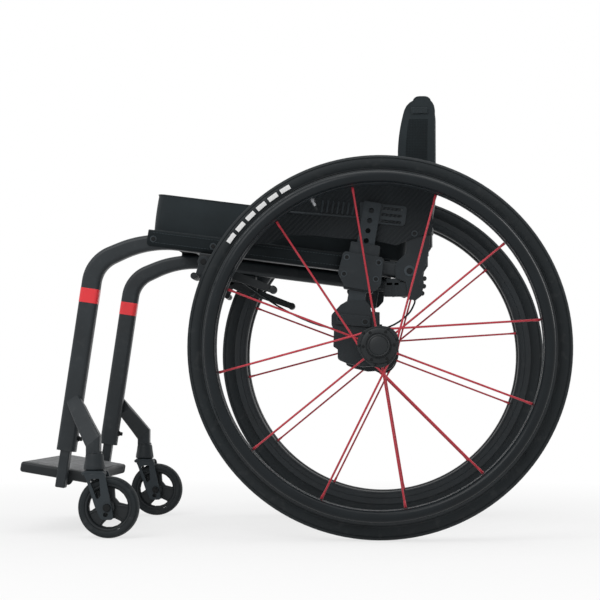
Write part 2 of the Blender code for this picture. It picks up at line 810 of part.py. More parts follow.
def pair(obj, stem, finish, holders=(None, None)):
    """The same piece on both sides of the chair; the right one is the left one's mirror image."""
    left = part(obj, stem + "_left", finish, holders[0])
    right = bpy.data.objects.new(stem + "_right", left.data)
    right.parent = holders[1]
    right.scale.x = -1
    PARTS.objects.link(right)


def arc(start, corner, end, radius, steps):
    """Points (ahead, up) of the fillet between two straight runs that meet at corner."""
    here = Vector(corner)
    back, on = (Vector(start) - here).normalized(), (Vector(end) - here).normalized()
    turn = back.angle(on)
    middle = here + (back + on).normalized() * radius / math.sin(turn / 2)
    first = here + back * radius / math.tan(turn / 2) - middle
    swing = first.angle_signed(here + on * radius / math.tan(turn / 2) - middle)
    points = []
    for step in range(steps + 1):
        arm = first.copy()
        arm.rotate(Matrix.Rotation(-swing * step / steps, 2))
        points.append(tuple(middle + arm))
    return points


def rectangle(wide, deep, corner, steps=2):
    """A rounded rectangle's outline about its middle."""
    return rounded(square_corners(wide, deep, corner), steps)


def on_leg(forward, up):
    """(ahead, up) of a point square to the leg's middle line, forward of it at a height."""
    share = (up - LEG_END_UP) / (NOSE_UP - LEG_END_UP)
    ahead = LEG_END_AHEAD + share * (NOSE_AHEAD - LEG_END_AHEAD)
    return ahead + forward * math.cos(LEG_TILT), up + forward * math.sin(LEG_TILT)


def along_leg(start_up, length):
    """The height of a point further up the leg by a length."""
    return start_up + length * math.cos(LEG_TILT)


def frame_tube():
    """The seat tube, front bend and leg of one side: a single bent tube, solid round the footrest tube."""
    rear = on_seat(seat_along(TUBE_REAR), 0)
    knee = on_seat(seat_along(KNEE_AHEAD), 0)
    nose = (NOSE_AHEAD, NOSE_UP)
    foot = (LEG_END_AHEAD, LEG_END_UP)
    line = [rear, *arc(rear, knee, nose, KNEE_RADIUS, 4), *arc(knee, nose, foot, NOSE_RADIUS, 4), foot]
    section = rectangle(TUBE_WIDE, TUBE_DEEP, TUBE_CORNER)
    tube = walled(swept("tube", [at(SIDE, *place) for place in line], section), TUBE_WALL)
    inside = along_leg(LEG_END_UP, TUBE_WALL + SLEEVE_LENGTH / 2)
    sleeve_size = (TUBE_WIDE - TUBE_WALL, TUBE_DEEP - TUBE_WALL, SLEEVE_LENGTH)
    sleeve = block("sleeve", sleeve_size, at(SIDE, *on_leg(0, inside)), LEG_TURN, TUBE_CORNER / 2)
    root = TUBE_WALL - TUBE_DEEP / 2
    tip = -TUBE_DEEP / 2 - CLAMP_SCREW_LENGTH
    screw = rod(
        "screw",
        CLAMP_SCREW_RADIUS,
        at(SIDE, *on_leg(root, CLAMP_SCREW_UP)),
        at(SIDE, *on_leg(tip, CLAMP_SCREW_UP)),
        sides=10,
    )
    cavity_size = (FOOT_TUBE_WIDE + 2 * GAP, FOOT_TUBE_DEEP + 2 * GAP, SLEEVE_LENGTH + 4 * TUBE_WALL)
    cavity = block("cavity", cavity_size, at(SIDE, *on_leg(FOOT_TUBE_AHEAD, inside)), LEG_TURN)
    return cut(joined(tube, sleeve, screw), cavity)


def seat_cross_tube():
    """The tube between the two sides, under the seat, with a lug that holds the release cable."""
    centre = at(0, *on_seat(seat_along(CROSS_TUBE_AHEAD), 0))
    tube = pipe("cross tube", CROSS_TUBE_RADIUS, CROSS_TUBE_WALL, TUBE_INNER - GAP, centre, steps=14)
    start, following = cable_places()[:2]
    heading = (following - start).normalized()
    root = Vector((start.x, centre.y, centre.z))
    outward = (start - root).normalized()
    lug = rod(
        "lug",
        CABLE_RADIUS + CROSS_TUBE_WALL,
        root + outward * (CROSS_TUBE_RADIUS - CROSS_TUBE_WALL / 2),
        start + heading * CABLE_LUG,
        sides=10,
    )
    hole = rod("hole", CABLE_RADIUS + GAP, start - heading * GAP, start + heading * 2 * CABLE_LUG, sides=12)
    return cut(joined(tube, lug), hole)


def axle_tube():
    """The tube that both quick-release pins plug into, narrower inside at its ends."""
    end = AXLE_CLAMP_OUTER + AXLE_TUBE_OVERHANG
    sleeve = end - AXLE_SLEEVE_LENGTH
    narrow = AXLE_PIN_RADIUS + RUNNING
    wide = AXLE_TUBE_RADIUS - AXLE_TUBE_WALL
    profile = [
        (AXLE_TUBE_RADIUS, -end),
        (AXLE_TUBE_RADIUS, end),
        (narrow, end),
        (narrow, sleeve),
        (wide, sleeve),
        (wide, -sleeve),
        (narrow, -sleeve),
        (narrow, -end),
    ]
    return turned("axle tube", profile, at(0, 0, AXLE_UP), steps=AXLE_TUBE_STEPS)


def axle_post():
    """The flat bar that sets how high the axle is below the seat."""
    top = by_seat(POST_TOP)
    centre = (POST_INNER + POST_THICK / 2, *on_post(0, (POST_FOOT + top) / 2))
    size = (POST_THICK, POST_WIDE, top - POST_FOOT)
    post = block("post", size, at(*centre), POST_TURN, POST_THICK / 8, 1)
    outside = POST_INNER + 2 * POST_THICK
    for i in range(POST_HOLES):
        place = on_post(0, top - POST_HOLE_TOP - i * POST_HOLE_PITCH)
        cut(post, cross_rod("hole", POST_HOLE_RADIUS, *place, POST_INNER - POST_THICK, outside, sides=6))
    return post


def post_slot(foot, top):
    """A cutter a little bigger than the post, between two places along it."""
    centre = (POST_INNER + POST_THICK / 2, *on_post(0, (foot + top) / 2))
    size = (POST_THICK + 2 * GAP, POST_WIDE + 2 * GAP, top - foot)
    return block("slot", size, at(*centre), POST_TURN)


def post_collar():
    """The block on the seat tube that the post slides through."""
    inner = TUBE_OUTER + GAP
    foot, top = by_seat(COLLAR_FOOT), by_seat(COLLAR_TOP)
    centre = ((inner + COLLAR_OUTER) / 2, *on_post(0, (foot + top) / 2))
    size = (COLLAR_OUTER - inner, COLLAR_WIDE, top - foot)
    collar = block("collar", size, at(*centre), POST_TURN, POST_THICK / 8, 1)
    return cut(collar, post_slot(foot - POST_WIDE, top + POST_WIDE))


def clamp_plate():
    """The screwed plate that pinches the post in its collar."""
    inner = COLLAR_OUTER + GAP
    outline = [
        (*on_post(across / 2, by_seat(along)), radius)
        for across, along, radius in (
            (PLATE_WIDE, PLATE_TOP, PLATE_CORNER),
            (-PLATE_WIDE, PLATE_TOP, PLATE_CORNER),
            (-PLATE_WIDE - PLATE_CORNER, PLATE_SHOULDER, PLATE_CORNER),
            (-PLATE_FOOT_WIDE, PLATE_FOOT, PLATE_CORNER),
            (PLATE_FOOT_WIDE, PLATE_FOOT, PLATE_CORNER),
            (PLATE_WIDE + PLATE_CORNER, PLATE_SHOULDER, PLATE_CORNER),
        )
    ]
    made = plate("plate", outline, inner, inner + PLATE_THICK, steps=2)
    for across in (-1, 1):
        for along in PLATE_SCREWS_ALONG:
            place = on_post(across * PLATE_SCREWS_APART / 2, by_seat(along))
            face = inner + PLATE_THICK
            cut(made, cross_rod("recess", PLATE_SCREW_RADIUS, *place, face - PLATE_THICK / 3, face + PLATE_THICK, 6))
    return made


def axle_clamp():
    """The casting that holds the axle tube on the post's lower end."""
    outline = [(ahead, AXLE_UP + up, radius) for ahead, up, radius in AXLE_CLAMP_OUTLINE]
    body = plate("clamp", outline, AXLE_CLAMP_INNER, AXLE_CLAMP_OUTER, steps=2)
    front, back = AXLE_CLAMP_BOLTS
    cap_outline = [
        (front[0] + AXLE_CAP_EDGE, AXLE_UP + front[1] - AXLE_CAP_EDGE, AXLE_CAP_EDGE / 3),
        (front[0] + AXLE_CAP_EDGE / 2, AXLE_UP + front[1] + AXLE_CAP_EDGE, AXLE_CAP_EDGE / 3),
        (back[0] - AXLE_CAP_EDGE, AXLE_UP + back[1] + AXLE_CAP_EDGE, AXLE_CAP_EDGE / 3),
        (back[0] - AXLE_CAP_EDGE, AXLE_UP + back[1] - AXLE_CAP_EDGE, AXLE_CAP_EDGE / 3),
    ]
    face = AXLE_CLAMP_OUTER + AXLE_CLAMP_CAP
    cap = plate("cap", cap_outline, AXLE_CLAMP_OUTER - AXLE_CLAMP_CAP / 4, face, steps=2)
    joined(body, cap)
    for ahead, up in AXLE_CLAMP_BOLTS:
        bolt = (ahead, AXLE_UP + up, face - AXLE_CLAMP_CAP / 2, face + AXLE_CLAMP_CAP)
        cut(body, cross_rod("bolt", PLATE_SCREW_RADIUS, *bolt, sides=6))
    inner, outer = AXLE_CLAMP_INNER - POST_THICK, face + POST_THICK
    bore = [(0, inner), (AXLE_TUBE_RADIUS + GAP, inner), (AXLE_TUBE_RADIUS + GAP, outer), (0, outer)]
    hole = turned("bore", bore, at(0, 0, AXLE_UP), steps=AXLE_TUBE_STEPS)
    return cut(body, hole, post_slot(POST_FOOT - GAP, by_seat(0)))


def rear_tyre():
    crown = TYRE_SECTION / 2
    middle = TYRE_RADIUS - crown
    seat_half = math.sqrt(crown**2 - (middle - TYRE_SEAT) ** 2)
    half = [
        (TYRE_RADIUS, crown * math.sin(math.radians(15))),
        (middle + crown * math.cos(math.radians(50)), crown * math.sin(math.radians(50))),
        (middle, crown),
        (TYRE_SEAT, seat_half),
    ]
    return turned("tyre", mirrored_profile(half), WHEEL_CENTRE, steps=WHEEL_STEPS)


def rear_rim():
    """The rim inside the tyre, with the stem of its valve."""
    half = [
        (TYRE_SEAT - GAP, RIM_WIDE / 2),
        (RIM_INNER_RADIUS + RIM_SHOULDER, RIM_WIDE / 2),
        (RIM_INNER_RADIUS, RIM_WIDE / 2 - RIM_SHOULDER),
    ]
    rim = turned("rim", mirrored_profile(half), WHEEL_CENTRE, steps=WHEEL_STEPS)
    root = at(WHEEL, RIM_INNER_RADIUS + VALVE_RADIUS, AXLE_UP)
    tip = at(WHEEL, RIM_INNER_RADIUS - VALVE_LENGTH, AXLE_UP)
    return joined(rim, rod("valve", VALVE_RADIUS, root, tip, sides=8))


def hand_rim():
    """The ring the rider pushes, with the tabs that hold it off the rim."""
    half = [
        (HAND_RIM_RADIUS + HAND_RIM_TUBE * math.cos(turn), HAND_RIM_TUBE * math.sin(turn))
        for turn in (math.radians(22.5 + 45 * i) for i in range(4))
    ]
    ring_centre = WHEEL_CENTRE + Vector((HAND_RIM_OFFSET, 0, 0))
    ring = turned("ring", mirrored_profile(half), ring_centre, steps=WHEEL_STEPS)
    inner = WHEEL + RIM_WIDE / 2 + GAP
    outer = WHEEL + HAND_RIM_OFFSET - HAND_RIM_TUBE / 2
    along, square = HAND_RIM_TAB
    tabs = []
    for i in range(HAND_RIM_TABS):
        turn = Matrix.Rotation(SPOKE_PHASE + math.pi / SPOKES + i * math.tau / HAND_RIM_TABS, 3, "X")
        centre = at((inner + outer) / 2, 0, AXLE_UP) + turn @ Vector((0, HAND_RIM_RADIUS, 0))
        tabs.append(block("tab", (outer - inner, square, along), centre, turn))
    return joined(ring, together("tabs", tabs))


def on_wheel(offset, radius, angle):
    """A point on the left wheel: across its middle plane, out from the axle, and round from the rear."""
    turn = Matrix.Rotation(angle, 3, "X")
    return WHEEL_CENTRE + Vector((offset, 0, 0)) + turn @ Vector((0, radius, 0))


def rear_hub():
    """The hub with its spokes: half of them straight out, half of them crossing in pairs."""
    bore = AXLE_PIN_RADIUS + RUNNING
    profile = [
        (bore, -HUB_INNER),
        (HUB_BARREL_RADIUS, -HUB_INNER),
        (HUB_INNER_FLANGE_RADIUS, -HUB_INNER_FLANGE - HUB_FLANGE_THICK / 2),
        (HUB_INNER_FLANGE_RADIUS, -HUB_INNER_FLANGE + HUB_FLANGE_THICK / 2),
        (HUB_BARREL_RADIUS, -HUB_INNER_FLANGE + HUB_FLANGE_THICK),
        (HUB_BARREL_RADIUS, HUB_OUTER_FLANGE - HUB_FLANGE_THICK),
        (HUB_FLANGE_RADIUS, HUB_OUTER_FLANGE - HUB_FLANGE_THICK / 2),
        (HUB_FLANGE_RADIUS, HUB_OUTER_FLANGE + HUB_FLANGE_THICK / 2),
        (HUB_RING_RADIUS, HUB_OUTER_FLANGE + HUB_FLANGE_THICK / 2),
        (HUB_RING_RADIUS - HUB_CHAMFER, HUB_OUTER),
        (bore, HUB_OUTER),
    ]
    hub = turned("hub", profile, WHEEL_CENTRE, steps=HUB_STEPS)
    straight, first_crossed, second_crossed = [], [], []
    for i in range(SPOKES):
        angle = SPOKE_PHASE + i * math.tau / SPOKES
        end = on_wheel(0, RIM_INNER_RADIUS - 2 * GAP, angle)
        if i % 2:
            root = on_wheel(-HUB_INNER_FLANGE, HUB_INNER_FLANGE_RADIUS - 2 * SPOKE_RADIUS, angle)
            straight.append(rod("spoke", SPOKE_RADIUS, root, end, sides=5))
            continue
        ahead = i % 4 == 0
        lean = SPOKE_CROSS if ahead else -SPOKE_CROSS
        root = on_wheel(HUB_OUTER_FLANGE, HUB_FLANGE_RADIUS - 2 * SPOKE_RADIUS, angle + lean)
        crossed = first_crossed if ahead else second_crossed
        crossed.append(rod("spoke", SPOKE_RADIUS, root, end, sides=5))
    groups = (straight, first_crossed, second_crossed)
    return joined(hub, *(together("spokes", group) for group in groups))


def axle_pin():
    """The quick-release pin that carries the wheel, with a bore for its button."""
    bore = BUTTON_STEM_RADIUS + RUNNING
    face = HUB_OUTER + GAP
    end = HUB_OUTER - AXLE_PIN_LENGTH
    profile = [
        (0, end),
        (AXLE_PIN_RADIUS * 0.7, end),
        (AXLE_PIN_RADIUS, end + AXLE_PIN_RADIUS / 2),
        (AXLE_PIN_RADIUS, face),
        (AXLE_FLANGE_RADIUS, face),
        (AXLE_FLANGE_RADIUS, face + AXLE_FLANGE_THICK),
        (bore, face + AXLE_FLANGE_THICK),
        (bore, face + AXLE_FLANGE_THICK - BUTTON_STEM_LENGTH - GAP),
        (0, face + AXLE_FLANGE_THICK - BUTTON_STEM_LENGTH - GAP),
    ]
    return turned("axle pin", profile, WHEEL_CENTRE, steps=12)


def axle_button():
    """The round button in the middle of the hub, with the stem that frees the pin."""
    under = HUB_OUTER + GAP + AXLE_FLANGE_THICK + BUTTON_TRAVEL + GAP
    profile = [
        (0, under - BUTTON_STEM_LENGTH),
        (BUTTON_STEM_RADIUS, under - BUTTON_STEM_LENGTH),
        (BUTTON_STEM_RADIUS, under),
        (BUTTON_RADIUS - GAP, under),
        (BUTTON_RADIUS, under + BUTTON_THICK / 3),
        (BUTTON_RADIUS - BUTTON_THICK / 3, under + BUTTON_THICK * 0.85),
        (0, under + BUTTON_THICK),
    ]
    return turned("button", profile, WHEEL_CENTRE, steps=HUB_STEPS)


def caster_arm():
    """The arm from the leg out and back to the caster's neck, cut flush at both ends."""
    leg_ahead, leg_up = on_leg(0, ARM_UP)
    start = at(TUBE_OUTER + GAP, leg_ahead, leg_up)
    end = at(CASTER, CASTER_AHEAD, NECK_TOP + GAP)
    bow = at(TUBE_OUTER + ARM_BOW[0], leg_ahead - ARM_BOW[1], leg_up - ARM_BOW[2])
    count = 3
    rings = []
    near = [Vector(corner) for corner in rounded(square_corners(ARM_DEEP, ARM_TALL, TUBE_CORNER / 2), 2)]
    far = [Vector(corner) for corner in rounded(square_corners(NECK_DEEP, NECK_WIDE, TUBE_CORNER / 2), 2)]
    steps = 6
    for step in range(steps + 1):
        t = step / steps
        middle = start * (1 - t) ** 2 + bow * 2 * t * (1 - t) + end * t**2
        lean = t**count * 0.3 + t * 0.7
        ring = []
        for from_leg, to_neck in zip(near, far):
            at_leg = Vector((0, from_leg.x, from_leg.y))
            at_neck = Vector((to_neck.y, to_neck.x, 0))
            ring.append(middle + at_leg.lerp(at_neck, lean))
        rings.append(ring)
    return lofted("arm", rings)


def caster_housing():
    """The upright that the caster swivels in: a neck over a bearing, with a blind bore."""
    bottom = FORK_TOP + GAP
    shoulder = bottom + HOUSING_TALL
    profile = [
        (0, bottom),
        (HOUSING_RADIUS, bottom),
        (HOUSING_RADIUS, bottom + HOUSING_TALL * 0.3),
        (HOUSING_SHOULDER_RADIUS, shoulder - HOUSING_TALL * 0.1),
        (HOUSING_SHOULDER_RADIUS - HUB_CHAMFER, shoulder),
        (0, shoulder),
    ]
    bearing = turned("bearing", profile, at(CASTER, CASTER_AHEAD, 0), "Z", steps=16)
    neck_foot = shoulder - HOUSING_TALL / 2
    neck = block(
        "neck",
        (NECK_WIDE, NECK_DEEP, NECK_TOP - neck_foot),
        at(CASTER, CASTER_AHEAD, (NECK_TOP + neck_foot) / 2),
        edge=TUBE_CORNER / 2,
    )
    bore = STEM_RADIUS + 2 * RUNNING
    bore_top = FORK_TOP - STEM_IN_FORK + STEM_LENGTH + GAP
    hole = rod(
        "bore",
        bore,
        at(CASTER, CASTER_AHEAD, bottom - HOUSING_TALL),
        at(CASTER, CASTER_AHEAD, bore_top),
        sides=12,
    )
    return cut(joined(bearing, neck), hole)


def caster_fork():
    """The fork: a flared crown and two windowed plates."""
    top = FORK_TOP
    crown_outline = square_corners(2 * FORK_CROWN_RADIUS, 2 * FORK_OUTER, FORK_CROWN_RADIUS * 0.6)
    crown = flat("crown", crown_outline, FORK_CROWN, 2)
    crown.location = at(CASTER, CASTER_AHEAD, top - FORK_CROWN / 2)
    hidden = top - GAP
    ahead, up = CASTER_CENTRE
    outline = [
        (ahead + along, hidden if above is None else up + above, radius)
        for along, above, radius in FORK_OUTLINE
    ]
    hole_place = (ahead + SPARE_HOLE[0], up + SPARE_HOLE[1])
    opening = [(ahead + along, up + above, radius) for along, above, radius in FORK_WINDOW]
    pieces = []
    for side in (-1, 1):
        inner = CASTER + side * FORK_INSIDE
        pieces.append(plate("fork plate", outline, inner, inner + side * FORK_WALL, steps=2))
    fork = joined(crown, *pieces)
    reach = 2 * FORK_OUTER
    window = plate("window", opening, CASTER - reach, CASTER + reach, steps=1)
    hole = CASTER_AXLE_RADIUS + 2 * RUNNING
    axle = cross_rod("axle hole", hole, *CASTER_CENTRE, CASTER - reach, CASTER + reach, sides=8)
    spare = cross_rod("spare hole", CASTER_AXLE_RADIUS, *hole_place, CASTER - reach, CASTER + reach, sides=6)
    stem = rod(
        "stem hole",
        STEM_RADIUS + 2 * RUNNING,
        at(CASTER, CASTER_AHEAD, top - STEM_IN_FORK - GAP),
        at(CASTER, CASTER_AHEAD, top + STEM_LENGTH),
        sides=12,
    )
    return cut(fork, window, axle, spare, stem)


def caster_stem():
    foot = FORK_TOP - STEM_IN_FORK
    return rod(
        "stem",
        STEM_RADIUS,
        at(CASTER, CASTER_AHEAD, foot),
        at(CASTER, CASTER_AHEAD, foot + STEM_LENGTH),
        sides=12,
    )


def caster_tyre():
    half = [
        (CASTER_RADIUS, CASTER_WIDE / 4),
        (CASTER_RADIUS - CASTER_WIDE * 0.2, CASTER_WIDE / 2),
        (CASTER_CORE_RADIUS, CASTER_WIDE * 0.44),
    ]
    return turned("caster tyre", mirrored_profile(half), at(CASTER, *CASTER_CENTRE), steps=CASTER_STEPS)


def caster_wheel():
    """The caster's core: a hub, a web with three windows, and a rim."""
    inner, outer = CASTER_WINDOW_INNER, CASTER_WINDOW_OUTER
    hub_half = FORK_INSIDE - 2 * GAP
    half = [
        (CASTER_CORE_RADIUS - GAP, CASTER_WIDE * 0.4),
        (outer, CASTER_WEB / 2),
        (CASTER_HUB_RADIUS + GAP, CASTER_WEB / 2),
        (CASTER_HUB_RADIUS, hub_half),
        (CASTER_AXLE_RADIUS + 2 * RUNNING, hub_half),
    ]
    wheel = turned("core", mirrored_profile(half), at(CASTER, *CASTER_CENTRE), steps=CASTER_STEPS)
    middle = Vector((CASTER_CENTRE[0], CASTER_CENTRE[1]))
    spread = math.tau / CASTER_WINDOWS - CASTER_SPOKE
    windows = []
    for i in range(CASTER_WINDOWS):
        aim = math.radians(30) + i * math.tau / CASTER_WINDOWS
        corners = []
        for radius, turns in ((outer - 2 * GAP, (-1, 0, 1)), (inner, (1, -1))):
            for share in turns:
                angle = aim + share * spread / 2 * (1 if radius > inner else 0.6)
                spot = middle + radius * Vector((math.cos(angle), math.sin(angle)))
                corners.append((*spot, 0))
        windows.append(plate("window", corners, CASTER - CASTER_WIDE, CASTER + CASTER_WIDE))
    return cut(wheel, together("windows", windows))


def caster_axle():
    """The bolt through the fork that the caster spins on."""
    shoulder = FORK_OUTER + GAP
    half = [(CASTER_AXLE_RADIUS, shoulder), (CASTER_AXLE_HEAD, shoulder)]
    head = shoulder + CASTER_AXLE_RADIUS * 0.7
    half += [(CASTER_AXLE_HEAD, head - 2 * GAP), (CASTER_AXLE_HEAD - 3 * GAP, head), (0, head)]
    profile = [(radius, -along) for radius, along in reversed(half)] + half
    return turned("bolt", profile, at(CASTER, *CASTER_CENTRE), steps=10)


def footrest_tube():
    """The tube that slides in the leg, with a hole for the footplate's pin."""
    length = (FOOT_TUBE_TOP - FOOT_TUBE_FOOT) / math.cos(LEG_TILT)
    middle = (FOOT_TUBE_TOP + FOOT_TUBE_FOOT) / 2
    size = (FOOT_TUBE_WIDE, FOOT_TUBE_DEEP, length)
    tube = block("tube", size, at(SIDE, *on_leg(FOOT_TUBE_AHEAD, middle)), LEG_TURN, FOOT_TUBE_CORNER, 1)
    hollow_size = (FOOT_TUBE_WIDE - 2 * FOOT_TUBE_WALL, FOOT_TUBE_DEEP - 2 * FOOT_TUBE_WALL, length)
    raised = along_leg(middle, 2 * FOOT_TUBE_WALL)
    hollow = block("hollow", hollow_size, at(SIDE, *on_leg(FOOT_TUBE_AHEAD, raised)), LEG_TURN)
    hole = cross_rod(
        "hole",
        FOOT_PIN_RADIUS + 2 * RUNNING,
        *on_leg(FOOT_TUBE_AHEAD, FOOT_PIVOT_UP),
        SIDE - FOOT_TUBE_WIDE,
        SIDE,
        sides=12,
    )
    return cut(tube, hollow, hole)


def footplate():
    """The plate the feet rest on, with a hanger and a pin at each side."""
    half = TUBE_INNER - 2 * GAP
    middle = FOOTPLATE_FRONT - FOOTPLATE_DEEP / 2
    long = (FOOTPLATE_DEEP - FOOTPLATE_THICK * math.sin(FOOTPLATE_TILT)) / math.cos(FOOTPLATE_TILT)
    size = (2 * half, long, FOOTPLATE_THICK)
    made = block("board", size, at(0, middle, FOOTPLATE_UP), FOOTPLATE_TURN, FOOTPLATE_THICK / 4)
    pivot = on_leg(FOOT_TUBE_AHEAD, FOOT_PIVOT_UP)
    outline = [(pivot[0] + ahead, pivot[1] + up, radius) for ahead, up, radius in HANGER_OUTLINE]
    for side in (-1, 1):
        outer = side * (half - GAP)
        hanger = plate("hanger", outline, outer - side * HANGER_THICK, outer, steps=2)
        pin = cross_rod("pin", FOOT_PIN_RADIUS, *pivot, outer - side * HANGER_THICK / 2, side * SIDE, sides=10)
        joined(made, hanger, pin)
    return made


def seat_sling():
    """The cloth stretched over the two side tubes, with a screwed flap down each side."""
    front, rear = seat_along(SLING_FRONT), seat_along(SLING_REAR)
    flap_rear = seat_along(SLING_FLAP_REAR)
    wide = TUBE_OUTER + GAP + SLING_THICK * 0.8
    narrow = TUBE_OUTER - GAP
    outline = [
        (across, -along, 0)
        for across, along in (
            (wide, front - SLING_LIP),
            (-wide, front - SLING_LIP),
            (-wide, flap_rear),
            (-narrow, flap_rear),
            (-narrow, rear),
            (narrow, rear),
            (narrow, flap_rear),
            (wide, flap_rear),
        )
    ]
    sheet = flat("sheet", outline, SLING_THICK)
    sheet.matrix_world = seat_frame(0, SLING_BOTTOM + SLING_THICK / 2)
    top = SLING_BOTTOM + SLING_THICK * 0.8
    foot = SLING_BOTTOM + SLING_THICK - SLING_FLAP
    flap_outline = [
        (*on_seat(front, top), SLING_LIP / 3),
        (*on_seat(flap_rear + GAP, top), 0),
        (*on_seat(flap_rear + GAP, foot), 0),
        (*on_seat(front, foot), SLING_LIP),
    ]
    for side in (-1, 1):
        inner, outer = side * (TUBE_OUTER + GAP), side * (TUBE_OUTER + GAP + SLING_THICK)
        joined(sheet, plate("flap", flap_outline, inner, outer, steps=3))
        for ahead in SLING_SCREWS:
            place = on_seat(seat_along(SLING_FRONT - ahead), 0)
            head = (outer - side * SLING_THICK / 2, outer + side * SLING_SCREW_TALL)
            joined(sheet, cross_rod("screw", SLING_SCREW_RADIUS, *place, *head, sides=8))
    return sheet


def seat_cushion():
    """The cushion: a rounded pad, higher in its middle, with sides drawn in at half height."""
    length = seat_along(CUSHION_FRONT) - seat_along(CUSHION_REAR)
    half = Vector((SIDE - CUSHION_INSET, length / 2, CUSHION_THICK / 2))

    def form(point, place):
        crown = CUSHION_CROWN * (1 - place.x**2) * (1 - place.y**2) * max(0, place.z)
        waist = 1 - CUSHION_DRAW * (1 - place.z**2)
        return Vector((point.x * waist, point.y * waist, point.z + crown))

    middle = (seat_along(CUSHION_FRONT) + seat_along(CUSHION_REAR)) / 2
    centre = seat_frame(middle, CUSHION_BOTTOM + CUSHION_THICK / 2)
    return soft_block("pad", half, CUSHION_CORNER, (5, 4, 3), form, centre)


def back_upholstery():
    """The padded back: hollow across, thinner at top and bottom, with a pocket for each cane."""
    half = Vector((SIDE + BACK_PAST_CANE, BACK_THICK / 2, (BACK_TOP - BACK_FOOT) / 2))

    def form(point, place):
        front = (1 - place.y) / 2
        inwards = BACK_HOLLOW * (1 - place.x**2) + BACK_TAPER * place.z**2
        return point + Vector((0, front * inwards, 0))

    centre = at(0, BACK_REAR + BACK_THICK / 2, SEAT_UP + (BACK_TOP + BACK_FOOT) / 2)
    pad = soft_block("pad", half, BACK_CORNER, (5, 3, 4), form, Matrix.Translation(centre))
    pockets = [
        rod(
            "pocket",
            (CANE_RADIUS + GAP) / math.cos(math.pi / CANE_SIDES),
            at(side * SIDE, CANE_AHEAD, SEAT_UP + BACK_FOOT - BACK_CORNER),
            at(side * SIDE, CANE_AHEAD, SEAT_UP + CANE_TOP + GAP),
            sides=CANE_SIDES,
        )
        for side in (-1, 1)
    ]
    return cut(pad, together("pockets", pockets))


def back_cane():
    """One upright of the backrest, with the foot it folds on."""
    lower, upper = at(SIDE, CANE_AHEAD, SEAT_UP + CANE_FOOT), at(SIDE, CANE_AHEAD, SEAT_UP + CANE_TOP)
    cane = rod("cane", CANE_RADIUS, lower, upper, CANE_SIDES)
    inner, outer = FOOT_INNER, TUBE_OUTER - 2 * GAP
    pivot_up = on_seat(seat_along(PIVOT_AHEAD), 0)[1]
    outline = [(PIVOT_AHEAD + ahead, pivot_up + up, radius) for ahead, up, radius in FOOT_OUTLINE]
    step = FOOT_BOSS_RADIUS / 4
    foot = plate("foot", outline, inner + step, outer - step, steps=2)
    boss = cross_rod("boss", FOOT_BOSS_RADIUS, PIVOT_AHEAD, pivot_up, inner, outer, sides=14)
    bore_radius = CANE_RADIUS - CANE_WALL
    bore = rod(
        "bore",
        bore_radius,
        lower + Vector((0, 0, 2 * CANE_RADIUS)),
        upper + Vector((0, 0, CANE_RADIUS)),
        sides=12,
    )
    pin = cross_rod(
        "pin",
        PIVOT_PIN_RADIUS + 2 * RUNNING,
        PIVOT_AHEAD,
        pivot_up,
        outer - PIVOT_PIN_LENGTH - GAP,
        outer + PIVOT_PIN_LENGTH,
        sides=12,
    )
    return cut(joined(cane, foot, boss), bore, pin)


def hinge_bar():
    """The bar between the two feet of the backrest, on its folding axis."""
    place = at(0, *on_seat(seat_along(PIVOT_AHEAD), 0))
    return pipe("hinge bar", HINGE_BAR_RADIUS, HINGE_BAR_WALL, FOOT_INNER - GAP, place, steps=12)


def back_bracket():
    """The plate behind the seat tube that the backrest folds on, with its angle adjuster."""
    inner = TUBE_OUTER + GAP
    outer = inner + BRACKET_THICK
    pivot_up = on_seat(seat_along(PIVOT_AHEAD), 0)[1]
    outline = [(PIVOT_AHEAD + ahead, pivot_up + up, radius) for ahead, up, radius in BRACKET_OUTLINE]
    made = plate("bracket", outline, inner, outer, steps=2)
    pin_end = inner - GAP - PIVOT_PIN_LENGTH
    pin = cross_rod("pin", PIVOT_PIN_RADIUS, PIVOT_AHEAD, pivot_up, pin_end, outer - GAP, sides=12)
    cap = cross_rod("cap", BRACKET_CAP_RADIUS, PIVOT_AHEAD, pivot_up, outer - GAP, outer + BRACKET_THICK / 2, 12)
    end = cable_places()[-1]
    foot = end.z - CABLE_LUG
    size = (ADJUSTER_WIDE, ADJUSTER_DEEP, ADJUSTER_TALL)
    across = inner + BRACKET_THICK / 4 - ADJUSTER_WIDE / 2
    block_ahead = PIVOT_AHEAD - ADJUSTER_BEHIND_PIVOT + ADJUSTER_DEEP / 2
    adjuster = block("adjuster", size, at(across, block_ahead, foot + ADJUSTER_TALL / 2), edge=4 * GAP, segments=1)
    joined(made, pin, cap, adjuster)
    for ahead, up in KNURLS:
        place = (PIVOT_AHEAD + ahead, pivot_up + up)
        joined(made, cross_rod("knurl", KNURL_RADIUS, *place, inner - ADJUSTER_WIDE / 2, outer - GAP, sides=6))
    mouth = Vector((end.x, end.y, foot - CABLE_LUG))
    ferrule = rod("ferrule", 2.5 * CABLE_RADIUS, mouth, end - Vector((0, 0, GAP)), sides=8)
    hole = rod("hole", CABLE_RADIUS + GAP, mouth - Vector((0, 0, CABLE_LUG)), end + Vector((0, 0, GAP)), sides=12)
    return cut(joined(made, ferrule), hole)


